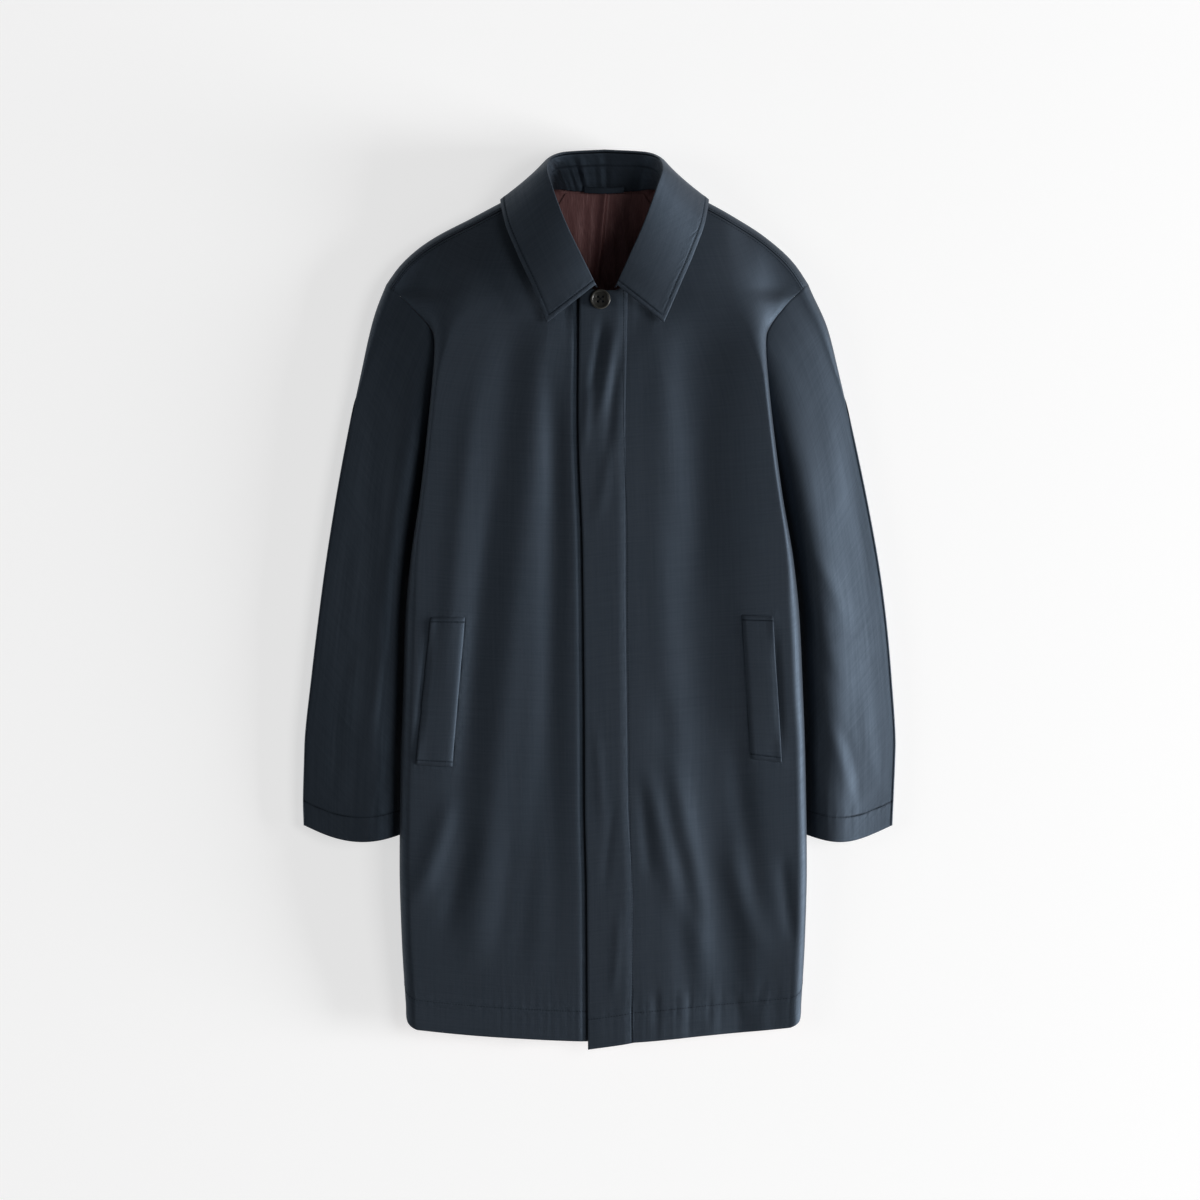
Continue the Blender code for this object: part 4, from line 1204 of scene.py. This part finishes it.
leafPoints = leaned(bothHalves(collarHalf("leaf")))
leafU, leafV = clothUv(leafPoints)
fromEdge = leafU[:, -1:] - leafU
fromEnd = np.minimum(leafV, leafV[-1:] - leafV)
leafSeam = np.abs(np.minimum(fromEdge, fromEnd) - collar["edgeStitch"])
leaf = clothPiece("collarFallCloth", "collar_fall", leafPoints, collar["leafWall"], leafSeam, flip=True)
standPoints = leaned(bothHalves(collarHalf("stand")))
standNormals = -gridNormals(standPoints)
standRun = clothUv(standPoints)[1][:, :1]
standX, standY, standZ = np.moveaxis(standPoints, -1, 0)
pucker = ripple(standRun + collar["standLean"] * standZ, collar["standWaves"], collar["standSeed"])
gathered = bell(standX - collar["gathered"]["x"], collar["gathered"]["half"])
gathered = gathered + collar["loose"]["share"] * bell(standX, collar["loose"]["half"])
gathered = gathered * (standY > collar["standFromY"])
inFrom = np.sin(np.pi * np.linspace(*collar["standFade"], standPoints.shape[1]))
standPoints = standPoints + standNormals * (collar["standRise"] * pucker * gathered * inFrom)[..., None]
standU = clothUv(standPoints)[0]
standSeam = np.abs(standU[:, -1:] - standU - collar["standStitch"])
stand = clothPiece("collarStandCloth", "collar_stand", standPoints, collar["standWall"], standSeam, flip=True)
print("stage: collar")

# lining seen in the neck
liningTable = Table(("y", "halfWidth"), ((0.300, 0.085), (0.390, 0.074), (0.425, 0.056), (0.446, 0.043)))
lining = {
    "z": 0.0064,
    "pleatRise": 0.0034,
    "pleatHalf": 0.0050,
    "pleatFrom": (0.002, 0.446),
    "pleatTo": (-0.010, 0.340),
    "pleatEdge": (0.004, -0.001),
    "creaseFloor": -0.0006,
    "rows": 130,
    "cols": 130,
    "wall": 0.0008,
}
liningCreases = (
    (16, 446, 30, 360, 4, 5, 1.8),
    (28, 440, 18, 350, -4, 6, -0.8),
    (8, 420, 14, 345, 3, 4, 1.4),
    (-12, 446, -16, 350, 2, 4, 0.7),
    (-24, 444, -22, 360, -2, 5, 0.8),
    (-34, 440, -30, 380, 2, 4, 0.6),
    (38, 440, 34, 380, 2, 5, 0.9),
    (-4, 366, -16, 335, 2, 4, 1.6),
    (4, 372, 12, 335, -2, 4, 1.6),
)
liningRows = []
for y in np.linspace(liningTable.key[0], liningTable.key[-1], lining["rows"] + 1):
    x = np.linspace(-1, 1, lining["cols"] + 1) * liningTable.at("halfWidth", y)
    level = np.full_like(x, y)
    z = lining["z"] - shoulder["neckLift"] + neckLift(x, level)
    share = (lining["pleatFrom"][1] - y) / (lining["pleatFrom"][1] - lining["pleatTo"][1])
    off = x - blend(lining["pleatFrom"][0], lining["pleatTo"][0], share)
    z = z + lining["pleatRise"] * bell(off, lining["pleatHalf"]) * eased(off, *lining["pleatEdge"])
    row = leaned(np.stack([x, level, z], axis=-1))
    row[:, 2] += np.maximum(creaseHeight(liningCreases, row[:, 0], row[:, 1]), lining["creaseFloor"])
    liningRows.append(row)
liningPoints = np.stack(liningRows)
neckLining = clothPiece("neckLining", "back_lining", liningPoints, lining["wall"])
neckLining.data.materials[0] = liningMaterial
print("stage: lining")

# tape loop at the back neck seam
loop = {
    "span": (-0.018, 0.026),
    "y": (0.4468, 0.4538),
    "z": 0.0112,
    "rise": 0.0016,
    "sag": 0.0016,
    "crown": 0.0004,
    "wall": 0.0010,
    "steps": 60,
    "cols": 8,
}
across = np.linspace(*loop["y"], loop["cols"] + 1)
crown = loop["crown"] * np.sin(math.pi * np.linspace(0, 1, len(across)))
loopPoints = np.stack([
    np.stack([
        np.full_like(across, blend(*loop["span"], s)),
        across - loop["sag"] * math.sin(math.pi * s) ** 0.5,
        loop["z"] + loop["rise"] * math.sin(math.pi * s) + crown,
    ], axis=-1)
    for s in np.linspace(0, 1, loop["steps"] + 1)
])
hangerLoop = clothPiece("hangerLoopTape", "hanger_loop", loopPoints, loop["wall"], flip=True)


# pocket welts
def treeOf(points):
    rows, cols = points.shape[:2]
    index = np.arange(rows * cols).reshape(rows, cols)
    corners = (index[:-1, :-1], index[:-1, 1:], index[1:, 1:], index[1:, :-1])
    faces = np.stack(corners, axis=-1).reshape(-1, 4)
    return BVHTree.FromPolygons(points.reshape(-1, 3).tolist(), faces.tolist())


def dropped(tree, x, y):
    point, normal, _, _ = tree.ray_cast(Vector((x, y, farAway)), Vector((0, 0, -1)))
    return np.array(point), np.array(normal if normal.z > 0 else -normal)


weltPoints = {}
for key, side in bothSides:
    corner = {name: np.array(value) for name, value in zip(weltColumns, weltCorners[key])}
    tree = treeOf(frontPoints[key][0])
    rows = []
    ups = []
    for down in np.linspace(0, 1, welt["rows"] + 1):
        inner = blend(corner["topInner"], corner["lowInner"], down)
        outer = blend(corner["topOuter"], corner["lowOuter"], down)
        raised = eased(min(down, 1 - down), 0.0, welt["endRun"])
        row = []
        for s in np.linspace(0, 1, welt["cols"] + 1):
            point, normal = dropped(tree, *blend(inner, outer, s))
            lift = welt["lift"] * blend(welt["foldLift"], 1.0, eased(s, 0.0, welt["foldRun"]))
            lift = lift * blend(welt["endLift"], 1.0, raised)
            lift += welt["lip"] * eased(s, welt["lipFrom"], 1.0) * raised
            row.append(point + normal * lift)
            ups.append(normal)
        rows.append(row)
    points = np.array(rows)
    v = clothUv(points)[1]
    seam = np.abs(np.minimum(v, v[-1:] - v) - welt["endStitch"])
    clothPiece(f"welt{key.title()}Cloth", f"welt_{key}", points, welt["wall"], seam, flip=side > 0)
    weltPoints[key] = (points, np.array(ups).reshape(points.shape))
print("stage: pockets and loop")

# button
buttonSpec = {
    "radius": 0.0109,
    "thick": 0.0030,
    "rim": 0.0022,
    "dish": 0.0009,
    "place": (0.000, 0.327),
    "lift": 0.0026,
    "hole": 0.0014,
    "pitch": 0.0026,
    "sides": 64,
    "thread": 0.00018,
    "colour": (0.016, 0.016, 0.014, 1.0),
    "rimColour": (0.060, 0.058, 0.048, 1.0),
    "roughness": 0.34,
    "paleRing": (0.80, 0.98),
    "paleRingLeast": 0.25,
    "grain": 420.0,
    "grainStrength": 0.25,
    "grainDepth": 0.0002,
    "bevel": 0.00015,
    "bevelAngle": math.radians(40),
    "holeSides": 20,
    "barLength": 1.55,
    "barFlat": 0.9,
    "barApart": 0.6,
    "barRise": 0.2,
    "plugShare": 0.9,
}


def makeButtonMaterial(centre):
    spec = buttonSpec
    made, tree, shader = newMaterial("buttonPlastic")
    place = objectPlace(tree)
    away = node(tree, "ShaderNodeVectorMath", {0: place, 1: centre[:]}, operation="SUBTRACT").outputs[0]
    level = (1.0, 1.0, 0.0)
    flat = node(tree, "ShaderNodeVectorMath", {0: away, 1: level}, operation="MULTIPLY").outputs[0]
    reach = node(tree, "ShaderNodeVectorMath", {0: flat}, operation="LENGTH").outputs["Value"]
    # the button is painted paler towards its rim, streaked by grain noise
    paleFrom, paleTo = (spec["radius"] * share for share in spec["paleRing"])
    paleRing = node(tree, "ShaderNodeMapRange", {"Value": reach, "From Min": paleFrom, "From Max": paleTo}).outputs[0]
    grain = noise(tree, place, spec["grain"], 4.0)
    streak = times(tree, paleRing, plus(tree, grain, spec["paleRingLeast"], clamp=True))
    setInputs(tree, shader, {
        "Base Color": mixed(tree, streak, spec["colour"], spec["rimColour"]),
        "Normal": bumped(tree, grain, spec["grainStrength"], spec["grainDepth"]),
        "Roughness": spec["roughness"],
    })
    return made


def holePlaces(centre, z):
    pitch = buttonSpec["pitch"]
    return [Vector((centre.x + a * pitch, centre.y + b * pitch, z)) for a in (-1, 1) for b in (-1, 1)]


def makeButton():
    spec = buttonSpec
    point, _ = dropped(treeOf(bandPoints), *spec["place"])
    base = point[2] + spec["lift"] - spec["thick"] / 2
    centre = Vector((spec["place"][0], spec["place"][1], 0)) + Vector(frameShift)
    r = spec["radius"]
    dish = spec["dish"]
    inner = r - spec["rim"]
    thick = spec["thick"]
    # half section: middle of the underside, round the rim, down into the dish
    profile = (
        (0.0, 0.0),
        (r - 2 * dish, 0.0),
        (r - 0.3 * dish, 0.6 * dish),
        (r, 1.4 * dish),
        (r - 0.2 * dish, thick - 0.5 * dish),
        (r - dish, thick),
        (inner + 0.4 * dish, thick - 0.1 * dish),
        (inner - 0.6 * dish, thick - dish),
        (0.0, thick - 1.1 * dish),
    )
    mesh = bmesh.new()
    verts = [mesh.verts.new((centre.x + a, centre.y, base + b)) for a, b in profile]
    edges = [mesh.edges.new(pair) for pair in zip(verts, verts[1:])]
    bmesh.ops.spin(
        mesh, geom=verts + edges, cent=centre, axis=(0, 0, 1), angle=2 * math.pi,
        steps=spec["sides"], use_merge=True,
    )
    bmesh.ops.remove_doubles(mesh, verts=mesh.verts[:], dist=mergeReach)
    bmesh.ops.recalc_face_normals(mesh, faces=mesh.faces[:])
    drill = bmesh.new()
    for spot in holePlaces(centre, base):
        made = bmesh.ops.create_cone(
            drill, cap_ends=True, segments=spec["holeSides"],
            radius1=spec["hole"], radius2=spec["hole"], depth=4 * thick,
        )
        bmesh.ops.translate(drill, verts=made["verts"], vec=spot)
    holder = objectFrom("buttonDisc", mesh)
    drillObject = objectFrom("drill", drill)
    cut = holder.modifiers.new("holes", "BOOLEAN")
    cut.operation = "DIFFERENCE"
    cut.solver = "EXACT"
    cut.object = drillObject
    graph = bpy.context.evaluated_depsgraph_get()
    cutData = bpy.data.meshes.new_from_object(holder.evaluated_get(graph))
    holder.modifiers.clear()
    holder.data = cutData
    bpy.data.objects.remove(drillObject)
    for polygon in holder.data.polygons:
        polygon.use_smooth = True
    softenEdges(holder, spec["bevel"], spec["bevelAngle"])
    holder.data.materials.clear()
    holder.data.materials.append(makeButtonMaterial(centre))
    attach(holder, "root")
    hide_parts("button")
    return holder, centre, base + thick - dish


def makeButtonThread(centre, top):
    # two crossed pairs of thread bars, and a plug of thread in each hole
    spec = buttonSpec
    thick = spec["thread"]
    mesh = bmesh.new()
    size = Matrix.Diagonal((thick, thick * spec["barFlat"], spec["pitch"] * spec["barLength"], 1.0))
    laid = Matrix.Rotation(math.pi / 2, 4, "Y")
    for turn in (math.pi / 4, 3 * math.pi / 4):
        for shift in (-spec["barApart"], spec["barApart"]):
            made = bmesh.ops.create_uvsphere(mesh, u_segments=10, v_segments=14, radius=1.0)
            turned = Matrix.Rotation(turn, 4, "Z")
            aside = Vector((-math.sin(turn), math.cos(turn), 0)) * shift * thick
            spot = Matrix.Translation(Vector((centre.x, centre.y, top + thick * spec["barRise"])) + aside)
            bmesh.ops.transform(mesh, matrix=spot @ turned @ laid @ size, verts=made["verts"])
    plug = spec["hole"] * spec["plugShare"]
    for spot in holePlaces(centre, top - spec["hole"]):
        made = bmesh.ops.create_uvsphere(mesh, u_segments=12, v_segments=8, radius=plug)
        bmesh.ops.translate(mesh, verts=made["verts"], vec=spot)
    for face in mesh.faces:
        face.smooth = True
    thread = objectFrom("buttonThread", mesh)
    thread.data.materials.append(threadMaterial)
    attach(thread, "root")
    return thread


button, buttonCentre, buttonTop = makeButton()
buttonThread = makeButtonThread(buttonCentre, buttonTop)
print("stage: button")


def sew(name, points, normals, level, skip=(0, 0), closed=False):
    path, ups = rowAtHeight(points, normals, level)
    kept = list(range(skip[0], len(path) - skip[1]))
    if closed:
        kept.append(kept[0])
    stitchRow(name, path[kept], ups[kept])


backNormals = -gridNormals(backPoints)
for key, side in bothSides:
    title = key.title()
    points, normals = frontPoints[key]
    start = body["bandCols"] if side > 0 else 0
    sew("hemStitch" + title, points[:, start:], normals[:, start:], body["hemStitch"])
    points, normals = sleevePoints[key]
    sew("cuffStitch" + title, points[::-1], normals[::-1], sleeve["cuffStitch"], closed=True)
    points, normals = weltPoints[key]
    for end, way in enumerate((1, -1)):
        sew(f"weltStitch{title}{end}", points[::way], normals[::way], welt["endStitch"])
    points, normals = frontPoints[key]
    shown = np.abs(points[-1, :, 0]) > shoulder["stitchFrom"]
    sew("shoulderStitch" + title, points[::-1, shown], normals[::-1, shown], shoulder["stitchBelow"])
    shown = backPoints[-1, :, 0] * side > shoulder["stitchFrom"]
    sew("yokeStitch" + title, backPoints[::-1, shown], backNormals[::-1, shown], shoulder["stitchAbove"])
bandNormals = gridNormals(bandPoints)
bandAcross = [grid.transpose(1, 0, 2) for grid in (bandPoints, bandNormals)]
sew("bandStitch", *bandAcross, bandU[:, -1].mean() * band["stitchPlace"])
sew("bandHemStitch", bandPoints, bandNormals, body["hemStitch"], skip=(0, band["hemSkip"]))
leafNormals = -gridNormals(leafPoints)
leafAcross = [grid.transpose(1, 0, 2)[::-1] for grid in (leafPoints, leafNormals)]
sew("collarEdgeStitch", *leafAcross, collar["edgeStitch"], skip=(collar["edgeSkip"], collar["edgeSkip"]))
for name, way in (("collarEndStitchRight", 1), ("collarEndStitchLeft", -1)):
    sew(name, leafPoints[::way], leafNormals[::way], collar["edgeStitch"], skip=(0, collar["endSkip"]))
print("stage: sewing")

# cut sizes are worked out and printed with each piece above; this loop only names the two sides
for key in ("left", "right"):
    title = key.title()

# floor, light, camera
studio = {
    "floorSize": 14.0,
    "floorDrop": 0.0006,
    "floorColour": (0.50, 0.50, 0.50, 1.0),
    "floorGlow": 0.610,
    "floorRoughness": 0.9,
    "ambient": 0.035,
    "cameraHeight": 6.0,
    "cameraReach": 30.0,
    "viewWidth": 1.32,
    "aim": (0.00094, -0.00105, 0.02),
}
# name, azimuth, elevation, distance, size, power
lamps = (
    ("key", -8.0, 11.0, 7.0, 2.2, 860.0),
    ("upper", 5.0, 52.0, 10.0, 4.0, 240.0),
    ("left", 180.0, 30.0, 10.0, 5.0, 135.0),
    ("low", 280.0, 30.0, 10.0, 5.0, 60.0),
)


def makeFloor():
    mesh = bmesh.new()
    bmesh.ops.create_grid(mesh, x_segments=1, y_segments=1, size=studio["floorSize"] / 2)
    bmesh.ops.translate(mesh, verts=mesh.verts[:], vec=(0, 0, -studio["floorDrop"]))
    floor = objectFrom("floor", mesh)
    made, tree, shader = newMaterial("paleFloor")
    setInputs(tree, shader, {
        "Base Color": studio["floorColour"],
        "Emission Color": white,
        "Emission Strength": studio["floorGlow"],
        "Roughness": studio["floorRoughness"],
        "Specular IOR Level": 0.0,
    })
    floor.data.materials.append(made)


def makeLight():
    world = bpy.data.worlds.new("studio")
    bpy.context.scene.world = world
    world.use_nodes = True
    sky = world.node_tree.nodes["Background"]
    setInputs(world.node_tree, sky, {"Color": white, "Strength": studio["ambient"]})
    for name, azimuth, elevation, distance, size, power in lamps:
        data = bpy.data.lights.new(name, "AREA")
        data.shape = "SQUARE"
        data.size = size
        data.energy = power
        lamp = bpy.data.objects.new(name, data)
        turn = math.radians(azimuth)
        rise = math.radians(elevation)
        flat = math.cos(rise)
        away = Vector((flat * math.cos(turn), flat * math.sin(turn), math.sin(rise)))
        lamp.location = away * distance
        lamp.rotation_euler = away.to_track_quat("Z", "Y").to_euler()
        bpy.context.scene.collection.objects.link(lamp)


def makeCamera():
    data = bpy.data.cameras.new("camera")
    camera = bpy.data.objects.new("camera", data)
    bpy.context.scene.collection.objects.link(camera)
    camera.location = (studio["aim"][0], studio["aim"][1], studio["cameraHeight"])
    data.lens = data.sensor_width * (studio["cameraHeight"] - studio["aim"][2]) / studio["viewWidth"]
    data.clip_end = studio["cameraReach"]
    bpy.context.scene.camera = camera
    bpy.context.scene.view_settings.view_transform = "Standard"


makeFloor()
makeLight()
makeCamera()
print("stage: studio")
